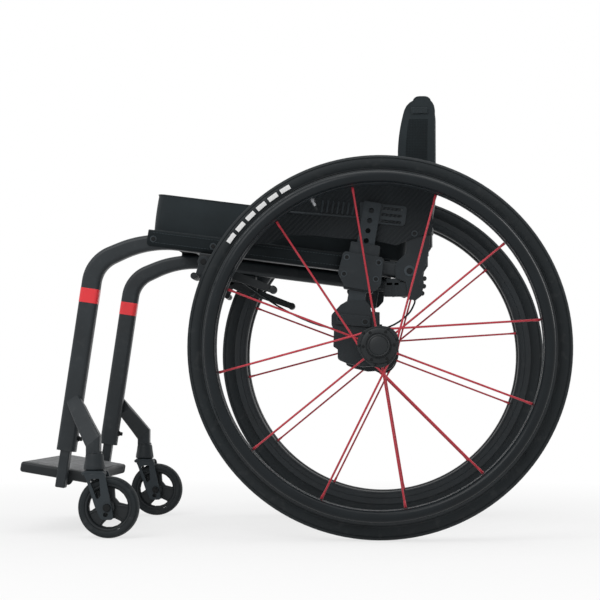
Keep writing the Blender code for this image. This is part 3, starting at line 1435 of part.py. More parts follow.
def side_guard():
    """The shield between the seat and the wheel, round at the top like the wheel."""
    front_over_axle = by_seat(GUARD_EDGE[-1][1])
    start = math.asin(front_over_axle / GUARD_REACH)
    end = math.acos(GUARD_REAR / GUARD_REACH)
    arc_points = []
    for i in range(GUARD_ARC_STEPS + 1):
        angle = start + (end - start) * i / GUARD_ARC_STEPS
        arc_points.append((GUARD_REACH * math.cos(angle), AXLE_UP + GUARD_REACH * math.sin(angle), 0))
    outer = GUARD_INNER + GUARD_THICK
    edge = [(ahead, SEAT_UP + above, radius) for ahead, above, radius in GUARD_EDGE]
    guard = plate("guard", [*edge, *arc_points], GUARD_INNER, outer, steps=2)
    place = (GUARD_SCREW[0], SEAT_UP + GUARD_SCREW[1])
    screw = cross_rod("screw", GUARD_SCREW_RADIUS, *place, outer - GUARD_THICK / 2, outer + GUARD_THICK / 2, 10)
    return joined(guard, screw)


def lock_bar_place():
    """(ahead, up) of the wheel lock's bar, just in front of the tyre."""
    reach = TYRE_RADIUS + LOCK_GAP + LOCK_BAR_RADIUS
    over_axle = by_seat(-LOCK_BAR_DROP)
    return math.sqrt(reach**2 - over_axle**2), AXLE_UP + over_axle


def lock_clamp_place():
    """(ahead, up) of the seat line above the middle of the wheel lock's clamp."""
    return on_seat(seat_along(lock_bar_place()[0] - LOCK_BASE_BEHIND_BAR), 0)


def lock_lever_pivot():
    """(ahead, up) of the lever's pivot."""
    ahead, up = lock_clamp_place()
    return ahead + LOCK_PIVOT_PLACE[0], up + LOCK_PIVOT_PLACE[1]


def lock_arm_pivot():
    """(ahead, up) of the arm's pivot, square to the line from the axle to the bar."""
    bar = Vector(lock_bar_place())
    outward = (bar - Vector((0, AXLE_UP))).normalized()
    return tuple(bar + LOCK_ARM_LENGTH * Vector((-outward.y, outward.x)))


def lock_base():
    """The clamp under the seat tube that carries the wheel lock's two pins."""
    under = -(TUBE_DEEP / 2 + GAP + LOCK_BASE_TALL / 2)
    inner = SIDE - LOCK_BASE_TALL / 2
    wall_inner = LOCK_BASE_OUTER - 2 * LOCK_ARM_THICK
    size = (wall_inner + LOCK_ARM_THICK - inner, LOCK_BASE_LENGTH, LOCK_BASE_TALL)
    middle, seat_line = lock_clamp_place()
    centre = at((wall_inner + LOCK_ARM_THICK + inner) / 2, *on_seat(seat_along(middle), under))
    base = block("base", size, centre, SEAT_TURN, LOCK_BASE_TALL / 8, 1)
    outline = [(middle + ahead, seat_line + above, radius) for ahead, above, radius in LOCK_WALL_OUTLINE]
    wall = plate("wall", outline, wall_inner, LOCK_BASE_OUTER, steps=2)
    lever_face, arm_face = lock_faces()
    lever_pin = cross_rod(
        "lever pin", LOCK_PIN_RADIUS, *lock_lever_pivot(), wall_inner + GAP, lever_face + LOCK_ARM_THICK, sides=10
    )
    arm_pin = cross_rod(
        "arm pin", LOCK_PIN_RADIUS, *lock_arm_pivot(), wall_inner + GAP, arm_face + LOCK_ARM_THICK, sides=10
    )
    spacer = cross_rod(
        "spacer", LOCK_PIN_RADIUS * 1.7, *lock_arm_pivot(), wall_inner + 2 * GAP, arm_face - GAP, sides=10
    )
    return joined(base, wall, lever_pin, arm_pin, spacer)


def lock_faces():
    """How far across the inner faces of the lever and of the arm are."""
    lever_face = LOCK_BASE_OUTER + GAP
    return lever_face, lever_face + LOCK_ARM_THICK + 2 * GAP


def link(name, first, last, first_wide, last_wide, inner, outer):
    """A straight flat link between two (ahead, up) places, tapering between its widths."""
    start, end = Vector(first), Vector(last)
    heading = (end - start).normalized()
    square = Vector((heading.y, -heading.x))
    corners = [
        (*(start + square * first_wide / 2), 0),
        (*(end + square * last_wide / 2), 0),
        (*(end - square * last_wide / 2), 0),
        (*(start - square * first_wide / 2), 0),
    ]
    return plate(name, corners, inner, outer)


def lock_lever():
    """The wheel lock's lever, with a round knob at its end."""
    inner = lock_faces()[0]
    outer = inner + LOCK_ARM_THICK
    pivot = lock_lever_pivot()
    knob_place = (pivot[0] + LOCK_KNOB_PLACE[0], pivot[1] + LOCK_KNOB_PLACE[1])
    boss = cross_rod("boss", LOCK_BOSS_RADIUS, *pivot, inner, outer, sides=12)
    inset = LOCK_ARM_THICK / 10
    bar = link(
        "bar",
        pivot,
        knob_place,
        1.6 * LOCK_BOSS_RADIUS,
        1.2 * LOCK_BOSS_RADIUS,
        inner + inset,
        outer - inset,
    )
    edge = LOCK_KNOB_WIDE / 8
    profile = [
        (0, 0),
        (LOCK_KNOB_RADIUS - edge, 0),
        (LOCK_KNOB_RADIUS, edge),
        (LOCK_KNOB_RADIUS, LOCK_KNOB_WIDE - edge),
        (LOCK_KNOB_RADIUS - edge, LOCK_KNOB_WIDE),
        (0, LOCK_KNOB_WIDE),
    ]
    knob = turned("knob", profile, at(inner + inset / 2, *knob_place), steps=12)
    hole = (LOCK_PIN_RADIUS + 2 * RUNNING, *pivot, inner - LOCK_ARM_THICK, outer + LOCK_ARM_THICK)
    return cut(joined(boss, bar, knob), cross_rod("hole", *hole, sides=12))


def lock_shoe():
    """The arm that swings the wheel lock's bar against the tyre."""
    inner = lock_faces()[1]
    outer = inner + LOCK_ARM_THICK
    inset = LOCK_ARM_THICK / 10
    pivot, bar_place = lock_arm_pivot(), lock_bar_place()
    boss = cross_rod("boss", LOCK_BOSS_RADIUS, *pivot, inner, outer, sides=12)
    arm = link("arm", pivot, bar_place, 1.4 * LOCK_BOSS_RADIUS, LOCK_BOSS_RADIUS, inner + inset, outer - inset)
    bar = cross_rod("bar", LOCK_BAR_RADIUS, *bar_place, inner, WHEEL + TYRE_SECTION / 2, sides=12)
    hole = (LOCK_PIN_RADIUS + 2 * RUNNING, *pivot, inner - LOCK_ARM_THICK, outer + LOCK_ARM_THICK)
    return cut(joined(boss, arm, bar), cross_rod("hole", *hole, sides=12))


def cable_places():
    """The world points that the release cable passes."""
    span = PIVOT_AHEAD - CROSS_TUBE_AHEAD
    return [at(SIDE - inset, CROSS_TUBE_AHEAD + share * span, SEAT_UP + above) for inset, share, above in CABLE_ROUTE]


def release_cable():
    """The thin cable from under the seat to the backrest's bracket, hanging in a bow."""
    places = cable_places()
    points = []
    padded = [places[0], *places, places[-1]]
    for before, here, on, after in zip(padded, padded[1:], padded[2:], padded[3:]):
        for step in range(CABLE_STEPS):
            t = step / CABLE_STEPS
            points.append(
                0.5
                * (
                    2 * here
                    + (on - before) * t
                    + (2 * before - 5 * here + 4 * on - after) * t**2
                    + (3 * here - before - 3 * on + after) * t**3
                )
            )
    points.append(places[-1])
    curve = bpy.data.curves.new("cable", "CURVE")
    curve.dimensions = "3D"
    curve.bevel_depth = CABLE_RADIUS
    curve.bevel_resolution = 2
    curve.use_fill_caps = True
    line = curve.splines.new("POLY")
    line.points.add(len(points) - 1)
    for point, place in zip(line.points, points):
        point.co = (*place, 1)
    run = bpy.data.objects.new("cable", curve)
    bpy.context.scene.collection.objects.link(run)
    return as_mesh(run)


def main():
    """Builds every piece, the fixed ones first and then each moving group on its own empty."""
    for obj, name, finish in (
        (seat_cross_tube(), "seat_cross_tube", "paint"),
        (axle_tube(), "axle_tube", "paint"),
        (seat_sling(), "seat_sling", "fabric"),
        (seat_cushion(), "seat_cushion", "fabric"),
        (release_cable(), "release_cable", "rubber"),
    ):
        part(obj, name, finish)
    for obj, stem, finish in (
        (frame_tube(), "frame_tube", "paint"),
        (caster_arm(), "caster_arm", "paint"),
        (caster_housing(), "caster_housing", "paint"),
        (axle_post(), "axle_post", "paint"),
        (post_collar(), "post_collar", "paint"),
        (clamp_plate(), "clamp_plate", "paint"),
        (axle_clamp(), "axle_clamp", "paint"),
        (side_guard(), "side_guard", "carbon"),
        (back_bracket(), "back_bracket", "paint"),
        (lock_base(), "lock_base", "plastic"),
    ):
        pair(obj, stem, finish)

    backrest = carrier("backrest", at(0, *on_seat(seat_along(PIVOT_AHEAD), 0)))
    part(back_upholstery(), "back_upholstery", "fabric", backrest)
    part(hinge_bar(), "back_hinge_bar", "paint", backrest)
    pair(back_cane(), "back_cane", "paint", (backrest, backrest))

    footrest = carrier("footrest", at(0, *on_leg(FOOT_TUBE_AHEAD, FOOT_TUBE_FOOT)))
    pair(footrest_tube(), "footrest_tube", "paint", (footrest, footrest))
    board = carrier("footplate_tilt", at(0, *on_leg(FOOT_TUBE_AHEAD, FOOT_PIVOT_UP)), footrest)
    part(footplate(), "footplate", "plastic", board)

    pins = side_carriers("wheel_pin", (WHEEL, 0, AXLE_UP))
    pair(axle_pin(), "axle_pin", "steel", pins)
    pair(axle_button(), "axle_button", "plastic", side_carriers("button", (WHEEL, 0, AXLE_UP), pins))
    wheels = side_carriers("wheel", (WHEEL, 0, AXLE_UP), pins)
    pair(rear_tyre(), "rear_tyre", "rubber", wheels)
    pair(rear_rim(), "rear_rim", "paint", wheels)
    pair(hand_rim(), "hand_rim", "paint", wheels)
    pair(rear_hub(), "rear_hub", "spoke", wheels)

    swivels = side_carriers("caster_swivel", (CASTER, CASTER_AHEAD, FORK_TOP))
    pair(caster_fork(), "caster_fork", "paint", swivels)
    pair(caster_stem(), "caster_stem", "steel", swivels)
    pair(caster_axle(), "caster_axle", "steel", swivels)
    casters = side_carriers("caster", (CASTER, *CASTER_CENTRE), swivels)
    pair(caster_wheel(), "caster_wheel", "plastic", casters)
    pair(caster_tyre(), "caster_tyre", "rubber", casters)

    lever_face, arm_face = lock_faces()
    levers = side_carriers("lock_lever_pivot", (lever_face, *lock_lever_pivot()))
    pair(lock_lever(), "lock_lever", "plastic", levers)
    pair(lock_shoe(), "lock_shoe", "steel", side_carriers("lock_shoe_pivot", (arm_face, *lock_arm_pivot())))

    for obj in list(HELPERS.objects):
        bpy.data.objects.remove(obj, do_unlink=True)
    bpy.data.collections.remove(HELPERS)


def side_carriers(stem, place, holders=(None, None)):
    """A joint's empty on each side of the chair, from the left one's (across, ahead, up)."""
    across, ahead, up = place
    return [
        carrier(f"{stem}_{side}", at(sign * across, ahead, up), holder)
        for side, sign, holder in (("left", 1, holders[0]), ("right", -1, holders[1]))
    ]


clear_scene()
PARTS = new_collection("Active wheelchair")
HELPERS = new_collection("Cutters")
HELPERS.hide_render = True
main()
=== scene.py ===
"""Looks of a rigid-frame active wheelchair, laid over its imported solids.

Metres, +Z up. The chair faces -Y and its left side is +X. Most places are given as (across, ahead, up):
across from the middle plane to the chair's left, ahead of the rear axle, and up from the floor.
"""

import json
import math

import bmesh
import bpy
from bpy.props import FloatProperty, FloatVectorProperty, IntProperty, PointerProperty
from mathutils import Matrix, Vector

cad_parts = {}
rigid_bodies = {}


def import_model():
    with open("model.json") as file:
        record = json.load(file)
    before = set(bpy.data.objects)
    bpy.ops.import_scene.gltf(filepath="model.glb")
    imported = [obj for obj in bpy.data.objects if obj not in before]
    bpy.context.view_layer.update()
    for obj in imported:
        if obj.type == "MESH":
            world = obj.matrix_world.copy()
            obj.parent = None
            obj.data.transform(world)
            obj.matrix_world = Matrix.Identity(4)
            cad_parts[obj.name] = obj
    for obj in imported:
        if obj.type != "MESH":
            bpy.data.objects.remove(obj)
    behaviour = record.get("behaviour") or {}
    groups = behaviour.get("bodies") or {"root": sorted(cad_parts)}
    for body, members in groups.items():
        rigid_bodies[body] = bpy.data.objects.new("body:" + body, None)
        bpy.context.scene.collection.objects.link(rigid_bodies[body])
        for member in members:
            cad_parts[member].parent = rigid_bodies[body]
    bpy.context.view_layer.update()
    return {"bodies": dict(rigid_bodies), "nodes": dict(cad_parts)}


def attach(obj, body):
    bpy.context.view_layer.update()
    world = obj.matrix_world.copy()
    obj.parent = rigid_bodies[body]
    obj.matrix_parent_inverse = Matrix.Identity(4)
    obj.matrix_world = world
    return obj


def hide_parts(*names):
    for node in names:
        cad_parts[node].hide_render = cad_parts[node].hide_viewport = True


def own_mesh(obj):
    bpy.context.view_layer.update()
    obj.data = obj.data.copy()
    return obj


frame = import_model()

bl_info = {
    "name": "Active wheelchair",
    "version": (1, 0, 0),
    "blender": (4, 5, 0),
    "location": "3D View > Sidebar > Wheelchair",
    "description": "Builds the detailed pieces of a rigid-frame active wheelchair",
    "category": "Add Mesh",
}

GAP = 0.0003
WELD = 1e-6
SHARP = math.radians(35)
SIDES = (("left", 1), ("right", -1))

# Layout of the whole chair
AXLE_BACK = 0.140  # the rear axle's Y
AXLE_UP = 0.305
SIDE = 0.185  # the middle of a side tube
WHEEL = 0.250
CASTER = 0.246
SEAT_SLOPE = math.radians(7.4)
SEAT_UP = 0.435  # the seat tube's middle line, straight above the axle

# Side tube
TUBE_DEEP = 0.026
TUBE_WIDE = 0.024
TUBE_CORNER = 0.007
TUBE_OUTER = SIDE + TUBE_WIDE / 2
TUBE_INNER = SIDE - TUBE_WIDE / 2
TUBE_REAR = -0.036
KNEE_AHEAD = 0.379
KNEE_RADIUS = 0.170
NOSE = (0.4666, 0.4434)
NOSE_RADIUS = 0.055
LEG_END = (0.510, 0.136)
LEG_TILT = math.atan2(LEG_END[0] - NOSE[0], NOSE[1] - LEG_END[1])
LEG_FULLER = 0.0052  # how much deeper the leg is than the seat part, on its front
BAND_FOOT = 0.3785
BAND_TOP = 0.4020
BAND_OVER = 0.0008
CLAMP_SCREW_UP = 0.158
CLAMP_SHANK = 0.0026
CLAMP_WASHER = (0.0058, 0.0042)
BEND_STEPS = 14
CROSS_TUBE_RADIUS = 0.011
CROSS_TUBE_AHEAD = 0.300

# Axle tube, post and clamps
AXLE_TUBE_RADIUS = 0.016
AXLE_TUBE_HALF = 0.2185
AXLE_TUBE_PROFILE = (  # (radius, across)
    (0.0068, -AXLE_TUBE_HALF), (0.0150, -AXLE_TUBE_HALF), (AXLE_TUBE_RADIUS, 0.001 - AXLE_TUBE_HALF),
    (AXLE_TUBE_RADIUS, AXLE_TUBE_HALF - 0.001), (0.0150, AXLE_TUBE_HALF), (0.0068, AXLE_TUBE_HALF),
)
POST_TILT = math.radians(9.8)
POST_AHEAD = 0.050
POST_INNER = 0.2048
POST_OUTER = 0.2148
POST_WIDE = 0.028
POST_FOOT = 0.032
POST_TOP = 0.238
POST_HOLE_RADIUS = 0.0043
POST_HOLE_PITCH = 0.0166
POST_HOLE_TOP = 0.014
POST_HOLES = 4
COLLAR_OUTER = 0.218
COLLAR_WIDE = 0.048
COLLAR_FOOT = 0.092
COLLAR_TOP = 0.1695
PLATE_OUTER = 0.2223
PLATE_OUTLINE = (  # (forward of the post's middle line, along it, fillet radius)
    (0.0330, 0.1515, 0.006), (-0.0330, 0.1515, 0.006), (-0.0355, 0.1080, 0.006), (-0.0270, 0.0945, 0.006),
    (0.0215, 0.0945, 0.006), (0.0360, 0.1150, 0.006),
)
PLATE_SCREWS = ((0.026, 0.142), (-0.026, 0.142), (0.026, 0.115), (-0.026, 0.115))
PLATE_RING = (0.0030, 0.0052, 0.0007, 0.0004, 0.0004)  # rings: inner and outer radius, height, slants
AXLE_CLAMP_INNER = 0.190
AXLE_CLAMP_OUTER = 0.216
AXLE_CLAMP_CAP = 0.0035
AXLE_CLAMP_OUTLINE = (  # (ahead, above the axle, fillet radius)
    (0.050, 0.075, 0.004), (0.062, 0.068, 0.006), (0.0765, 0.052, 0.006), (0.0765, 0.036, 0.004),
    (0.0726, 0.026, 0.0), (0.0735, 0.001, 0.0), (0.0665, -0.004, 0.0), (0.0665, -0.020, 0.006),
    (0.052, -0.026, 0.004), (0.026, -0.032, 0.006), (-0.026, -0.028, 0.026), (-0.026, 0.012, 0.012),
    (-0.010, 0.025, 0.004), (-0.001, 0.036, 0.0), (-0.001, 0.056, 0.0), (0.012, 0.057, 0.0),
    (0.014, 0.066, 0.0), (0.022, 0.075, 0.004),
)
AXLE_CAP_OUTLINE = (
    (0.0712, 0.0364, 0.003), (0.0667, 0.0544, 0.003), (0.0131, 0.0492, 0.003), (0.0131, 0.0312, 0.003),
)
AXLE_CLAMP_BOLTS = ((0.0622, 0.0454), (0.0221, 0.0402))
BOLT_RING = (0.0042, 0.0056, 0.0006, 0.0002, 0.0003)
AXLE_RING = ((0.0163, 0.0), (0.0205, 0.0), (0.0200, 0.0012), (0.0170, 0.0014))  # (radius, across)

# Rear wheel: profiles are (radius, across from the wheel's middle plane)
TYRE_HALF = (
    (0.3050, 0.0), (0.3050, 0.0022), (0.3040, 0.0026), (0.3040, 0.0036), (0.3049, 0.0040), (0.3045, 0.0068),
    (0.3032, 0.0093), (0.3012, 0.0110), (0.2999, 0.0116), (0.2993, 0.0108), (0.2984, 0.0109),
    (0.2978, 0.0121), (0.2952, 0.0131), (0.2918, 0.0135), (0.2882, 0.0133), (0.2850, 0.0125),
    (0.2834, 0.0114), (0.2824, 0.0117), (0.2818, 0.0109),
)
RIM_HALF = (
    (0.2815, 0.0102), (0.2796, 0.0105), (0.2712, 0.0103), (0.2708, 0.0098), (0.2703, 0.0098),
    (0.2699, 0.0103), (0.2640, 0.0101), (0.2612, 0.0090), (0.2592, 0.0068), (0.2581, 0.0036), (0.2578, 0.0),
)
MARK_REACH = 0.2904  # from the axle to the middle of a dash on the tyre
MARK_FIRST = math.radians(119)  # round from the rear, as are the other angles on the wheel
MARK_STEP = math.radians(4.6)
MARK_LONG = math.radians(3.4)
MARK_SECTION = (0.0120, 0.01345, 0.0137, 0.01335, 0.0120)  # across, from its inner edge to its outer one
RIM_INNER = 0.258
SPOKE_END = RIM_INNER - 0.0006
HAND_RIM_RADIUS = 0.266
HAND_RIM_TUBE = 0.0095
HAND_RIM_OFFSET = 0.036
HAND_RIM_TABS = 6
TAB_ROOT = 0.0108
TAB_SIZE = (0.007, 0.012)
TAB_FOOT = (0.0018, 0.009, 0.018)
SPOKES = 12
SPOKE_CROSS = math.radians(50)
SPOKE_PHASE = math.radians(9.3)
SPOKE_ROOT = 0.0034  # in from a flange's edge
SPOKE_KNOB = 0.0033
SPOKE_BUTT = (1.4, 0.010)  # how many times thicker it is at its root, and how far out
KNOB_THICKER = 1.3
NIPPLE = (0.0024, 0.0019)
NIPPLE_LONG = 0.011
VALVE_ANGLE = SPOKE_PHASE + math.radians(105)
VALVE_REACHES = (0.259, 0.2555, 0.2530, 0.2460, 0.2380)  # its root, collar, nut, cap and tip
VALVE_COLLAR = 0.0048
VALVE_STEM = 0.0028
VALVE_NUT = 0.0044
VALVE_CAP = (0.0030, 0.0026)
HUB_FLANGE = 0.0345
HUB_FLANGE_THICK = 0.0048
HUB_LOBE = 0.0018
HUB_STEPS = 90
HUB_FACE = 0.0257
HUB_INNER_FLANGE = 0.030
HUB_OUTER_PLACE = 0.0197
HUB_INNER_PLACE = -0.0177
HUB_PROFILE = (
    (0.0066, -0.0240), (0.0130, -0.0240), (0.0148, -0.0228), (0.0152, -0.0208), (0.0290, -0.0201),
    (0.0300, -0.0193), (0.0300, -0.0161), (0.0290, -0.0153), (0.0165, -0.0143), (0.0150, -0.0125),
    (0.0150, 0.0135), (0.0165, 0.0158), (0.0290, 0.0175), (0.0290, 0.0222), (0.0282, 0.0240),
    (0.0270, 0.0252), (0.0238, 0.0258), (0.0202, 0.0260), (0.0198, 0.0252), (0.0188, 0.0252),
    (0.0184, 0.0260), (0.0150, 0.0260), (0.0066, 0.0260),
)
PIN_PROFILE = (
    (0.0, -0.0840), (0.0040, -0.0840), (0.0058, -0.0822), (0.00635, -0.0800), (0.00635, -0.0770),
    (0.0057, -0.0764), (0.0057, -0.0748), (0.00635, -0.0742), (0.00635, 0.0263), (0.0112, 0.0263),
    (0.0120, 0.0270), (0.0120, 0.0286), (0.0112, 0.0293), (0.0028, 0.0293), (0.0028, 0.0050), (0.0, 0.0050),
)
BUTTON_PROFILE = (
    (0.0, 0.0086), (0.0025, 0.0086), (0.0025, 0.0326), (0.0168, 0.0326), (0.0175, 0.0334), (0.0175, 0.0352),
    (0.0170, 0.0364), (0.0160, 0.0369), (0.0152, 0.0366), (0.0148, 0.0360), (0.0142, 0.0366),
    (0.0120, 0.0374), (0.0070, 0.0382), (0.0, 0.0386),
)
HUB_SCREWS = 6
HUB_SCREW_RADIUS = 0.0245
HUB_SCREW_PHASE = math.radians(3)

# Caster
CASTER_AHEAD = 0.454
CASTER_CENTRE = (0.430, 0.049)
CASTER_TYRE_HALF = (
    (0.0490, 0.0), (0.0489, 0.0040), (0.0482, 0.0072), (0.0471, 0.0093), (0.0463, 0.0101), (0.0457, 0.0098),
    (0.0452, 0.0104), (0.0440, 0.0116), (0.0416, 0.0120), (0.0392, 0.0115), (0.0376, 0.0105),
)
CASTER_RIM_HALF = (
    (0.0373, 0.0096), (0.0355, 0.0099), (0.0338, 0.0092), (0.0325, 0.0074), (0.0319, 0.0048), (0.0317, 0.0),
)
CASTER_HUB_HALF = (
    (0.0115, 0.0), (0.0115, 0.0118), (0.0108, 0.0128), (0.0085, 0.0134), (0.0046, 0.0134),
)
CASTER_WEB = 0.0035
CASTER_DISC = 0.0325
CASTER_AIM = math.radians(19.5)
CASTER_WINDOWS = 3
CASTER_WINDOW = (  # (radius, degrees from its middle, fillet radius)
    (0.0316, -33, 0.0015), (0.0316, -16.5, 0.0), (0.0316, 0, 0.0), (0.0316, 16.5, 0.0),
    (0.0316, 33, 0.0015), (0.0185, 16, 0.0015), (0.0185, -16, 0.0015),
)
CASTER_RIB = ((0.0150, 30), (0.0322, 38))
CASTER_RIB_RADIUS = 0.0014
FORK_INSIDE = 0.014
FORK_WALL = 0.005
FORK_OUTLINE = (  # (ahead of the caster's axle, above it, fillet radius)
    (0.0400, 0.0575, 0.006), (0.0045, 0.0575, 0.006), (-0.0095, -0.0090, 0.010), (-0.0105, -0.0190, 0.005),
    (0.0090, -0.0190, 0.007), (0.0190, 0.0010, 0.008), (0.0335, 0.0440, 0.010),
)
FORK_WINDOW = (
    (0.0290, 0.0450, 0.002), (0.0125, 0.0460, 0.002), (0.0100, 0.0190, 0.002), (0.0160, 0.0120, 0.002),
)
SPARE_HOLE = (0.002, -0.0108)
SPARE_RADIUS = 0.0038
BOLT_HOLE = 0.0046
BOLT_RADIUS = 0.0039
BOLT_HEAD = (0.0065, 0.0030)
CROWN_BAR = (0.038, 0.0350, 0.0058)
CROWN_BAR_UP = 0.1030
CROWN_PROFILE = (  # (radius, up)
    (0.0, 0.1080), (0.0130, 0.1080), (0.0156, 0.1073), (0.0176, 0.1058), (0.0189, 0.1036), (0.0194, 0.1010),
    (0.0, 0.1005),
)
HOUSING_PROFILE = (
    (0.0, 0.1083), (0.0158, 0.1083), (0.0168, 0.1092), (0.0170, 0.1110), (0.0166, 0.1145), (0.0158, 0.1190),
    (0.0150, 0.1240), (0.0144, 0.1300), (0.0132, 0.1342), (0.0, 0.1353),
)
SEAL_PROFILE = ((0.0100, 0.1352), (0.0128, 0.1352), (0.0124, 0.1372), (0.0100, 0.1380))
NECK_DEEP = 0.0215
NECK_WIDE = 0.0215
NECK_FOOT = 0.1218
ARM_TOP = (0.4940, 0.2105)  # its middle on the leg's side, as (ahead, up)
ARM_MITRE = (0.4555, 0.1535)  # where its middle meets the neck's
ARM_MITRE_RISE = 0.018  # how much higher the mitre is behind
ARM_DEEP = 0.024
ARM_ON_LEG = 0.032  # along its slope, where it meets the leg
ARM_BOW = 0.003
ARM_STEPS = 12

# Footrest
FOOT_TUBE_DEEP = 0.0164
FOOT_TUBE_WIDE = 0.019
FOOT_TUBE_AHEAD = 0.003
FOOT_TUBE_FOOT = 0.076
FOOT_TUBE_TOP = 0.222
FOOT_PIVOT_UP = 0.090
FOOTPLATE_FRONT = 0.5940
FOOTPLATE_DEEP = 0.1175
FOOTPLATE_THICK = 0.0172
FOOTPLATE_TILT = math.radians(9.4)
FOOTPLATE_UP = 0.1003
FOOTPLATE_HALF = 0.1724
HANGER_THICK = 0.005
MAT_MARGIN = (0.020, 0.016)
MAT_THICK = 0.0012
STUD_ROWS = 6
STUD_COLUMNS = 22
STUD_PITCH = (0.0142, 0.0145)
STUD_SHIFT = 0.25  # of the pitch, one way and the other in turn
STUD_SIZE = (0.0075, 0.0030, 0.0012)
BOARD_RIBS = (-0.11, 0.0, 0.11)
HANGER_OUTLINE = (  # (ahead of the pivot, above it, fillet radius)
    (0.036, 0.016, 0.0), (0.012, 0.005, 0.010), (0.008, -0.010, 0.006), (-0.010, -0.011, 0.006),
    (-0.017, -0.001, 0.008), (-0.034, 0.000, 0.0), (-0.034, 0.005, 0.0),
)

# Seat
SLING_UNDER = 0.0133  # above the seat tube's middle line
SLING_THICK = 0.0022
SLING_FLAP = 0.0275
SLING_FRONT = 0.3795
SLING_REAR = -0.016
SLING_FLAP_REAR = 0.060
SLING_CORNER = 0.006
SLING_SCREWS = (0.3695, 0.2710)
SLING_RING = (0.0030, 0.0055, 0.0008, 0.0, 0.0003)
SLING_BEND = ((-0.010, 0.0), (-0.005, 0.0), (-0.0015, -0.0012), (0.0, -0.0045), (0.0, -0.010))
FLAP_SEAMS = (-0.0055, 0.0105)
FRONT_SEAMS = (0.005, 0.014)
STITCH_SPACE = 0.0016
CUSHION_HALF_WIDE = 0.172
CUSHION_THICK = 0.0630
CUSHION_CROWN = 0.005
CUSHION_FRONT = 0.3790
CUSHION_REAR = -0.0415
CUSHION_UNDER = 0.0158
CUSHION_CORNER = 0.014
CUSHION_WAIST = 0.004
AT_EDGE = 0.99  # of the way out from a cage's middle
PUFF_SHARE = 0.6  # how much of the swelling a cage makes room for

# Side guard, on (ahead, up)
GUARD_INNER = 0.2016
GUARD_OUTER = 0.2044
GUARD_REACH = 0.283
GUARD_REAR = -0.0878
GUARD_STEPS = 24
GUARD_EDGE = (
    (-0.0863, 0.4908, 0.004), (-0.0507, 0.4806, 0.010), (-0.0280, 0.4698, 0.008), (0.0044, 0.4775, 0.010),
    (0.0643, 0.4820, 0.0), (0.1080, 0.4868, 0.0), (0.1469, 0.4876, 0.010), (0.1777, 0.4750, 0.010),
    (0.2290, 0.4700, 0.0),
)
GUARD_SCREW = (-0.0575, 0.4890)
GUARD_RING = (0.0030, 0.0052, 0.0009, 0.0004, 0.0005)
GUARD_RIM = (0.0014, 0.0018)
VENT_OUTLINE = (
    (0.0310, 0.5410, 0.002), (-0.0460, 0.5330, 0.005), (-0.0420, 0.5010, 0.006), (0.0300, 0.5080, 0.002),
)
VENT_SLOTS = 3
SLOT_FRONT = -0.0035
SLOT_REAR = -0.0385
SLOT_STEP = 0.0012  # how much further ahead each lower slot ends
SLOT_UP = 0.5308
SLOT_PITCH = 0.0105
SLOT_HALF = 0.0024
SLOT_SLOPE = 0.105
RIB_COUNT = 7
RIB_FIRST = 0.0430
RIB_PITCH = 0.0084
RIB_OVER = 0.0030  # from the ledge's middle line to a rib's foot
RIB_EDGE = 0.016  # from the guard's round edge to a rib's top, at least
RIB_TALL = 0.020
RIB_LEAN = 0.16
RIB_SIZE = (0.0040, 0.0034)
LEDGE_AHEAD = (0.030, 0.120, 0.200)
LEDGE_START = 0.04
LEDGE_UP = 0.5165
LEDGE_SLOPE = 0.085
LEDGE_SIZE = (0.0022, 0.0018)

# Backrest
PIVOT = (-0.0495, 0.42857)
FOOT_BOSS_RADIUS = 0.012
FOOT_SPAN = (0.1740, 0.1964)
FOOT_OUTLINE = (  # (ahead of the pivot, above it, fillet radius)
    (0.0040, 0.0030, 0.0), (-0.0090, 0.0180, 0.004), (-0.0170, 0.0460, 0.008), (-0.0170, 0.0620, 0.0),
    (-0.0360, 0.0620, 0.0), (-0.0360, 0.0390, 0.008), (-0.0065, -0.0040, 0.0),
)
BRACKET_INNER = 0.1973
BRACKET_OUTER = 0.2013
BRACKET_OUTLINE = (
    (-0.0335, 0.0580, 0.0), (-0.0315, 0.0350, 0.020), (-0.0278, 0.0166, 0.020), (-0.0210, -0.0033, 0.006),
    (-0.0230, -0.0200, 0.004), (-0.0200, -0.0400, 0.006), (-0.0105, -0.0470, 0.0), (0.0030, -0.0465, 0.0),
    (0.0065, -0.0180, 0.0), (0.0225, -0.0120, 0.004), (0.0240, 0.0020, 0.006), (0.0204, 0.0154, 0.006),
    (0.0055, 0.0290, 0.010), (0.0043, 0.0560, 0.0),
)
BRACKET_SHORT = -0.019  # where the right bracket ends, below the pivot
KNURLS = ((-0.0240, -0.0120), (-0.0232, -0.0245), (-0.0205, -0.0360))
KNURL_RADIUS = 0.0036
KNURL_INNER = 0.1873
ADJUSTER = (0.020, 0.054, 0.023)
ADJUSTER_BEHIND = 0.0125  # from the pivot back to its rear end
ADJUSTER_RIM = 0.0008  # how much its two end bands stand over it
ADJUSTER_RIM_AHEAD = 0.012
SPACER_SIZE = (0.022, 0.0125)
SPACER_PLACE = (-0.022, 0.4108)
PIVOT_PIN_INNER = 0.1810
PIVOT_WASHER = ((0.0040, 0.0), (0.0092, 0.0), (0.0087, 0.0009), (0.0060, 0.0012), (0.0040, 0.0012))
CANE_RADIUS = 0.011
CANE_COLLAR = (0.020, 0.032)  # over the cane's foot
CANE_AHEAD = -0.076
CANE_FOOT = 0.468
CANE_TOP = 0.696
BACK_HALF = Vector((0.199, 0.0312, 0.098))
BACK_MIDDLE = (-0.0612, 0.6182)
BACK_HOLLOW = 0.030
BACK_TAPER = 0.018
BACK_CORNER = 0.023
MESH_REACH = 0.65
MESH_TOP = 0.62
LOOP_PLACE = (-0.0655, 0.6915)
LOOP_SIZE = (0.0016, 0.026, 0.0100)
LOOP_TURN = 0.02
LOOP_SEAMS = (-0.0551, -0.0771)
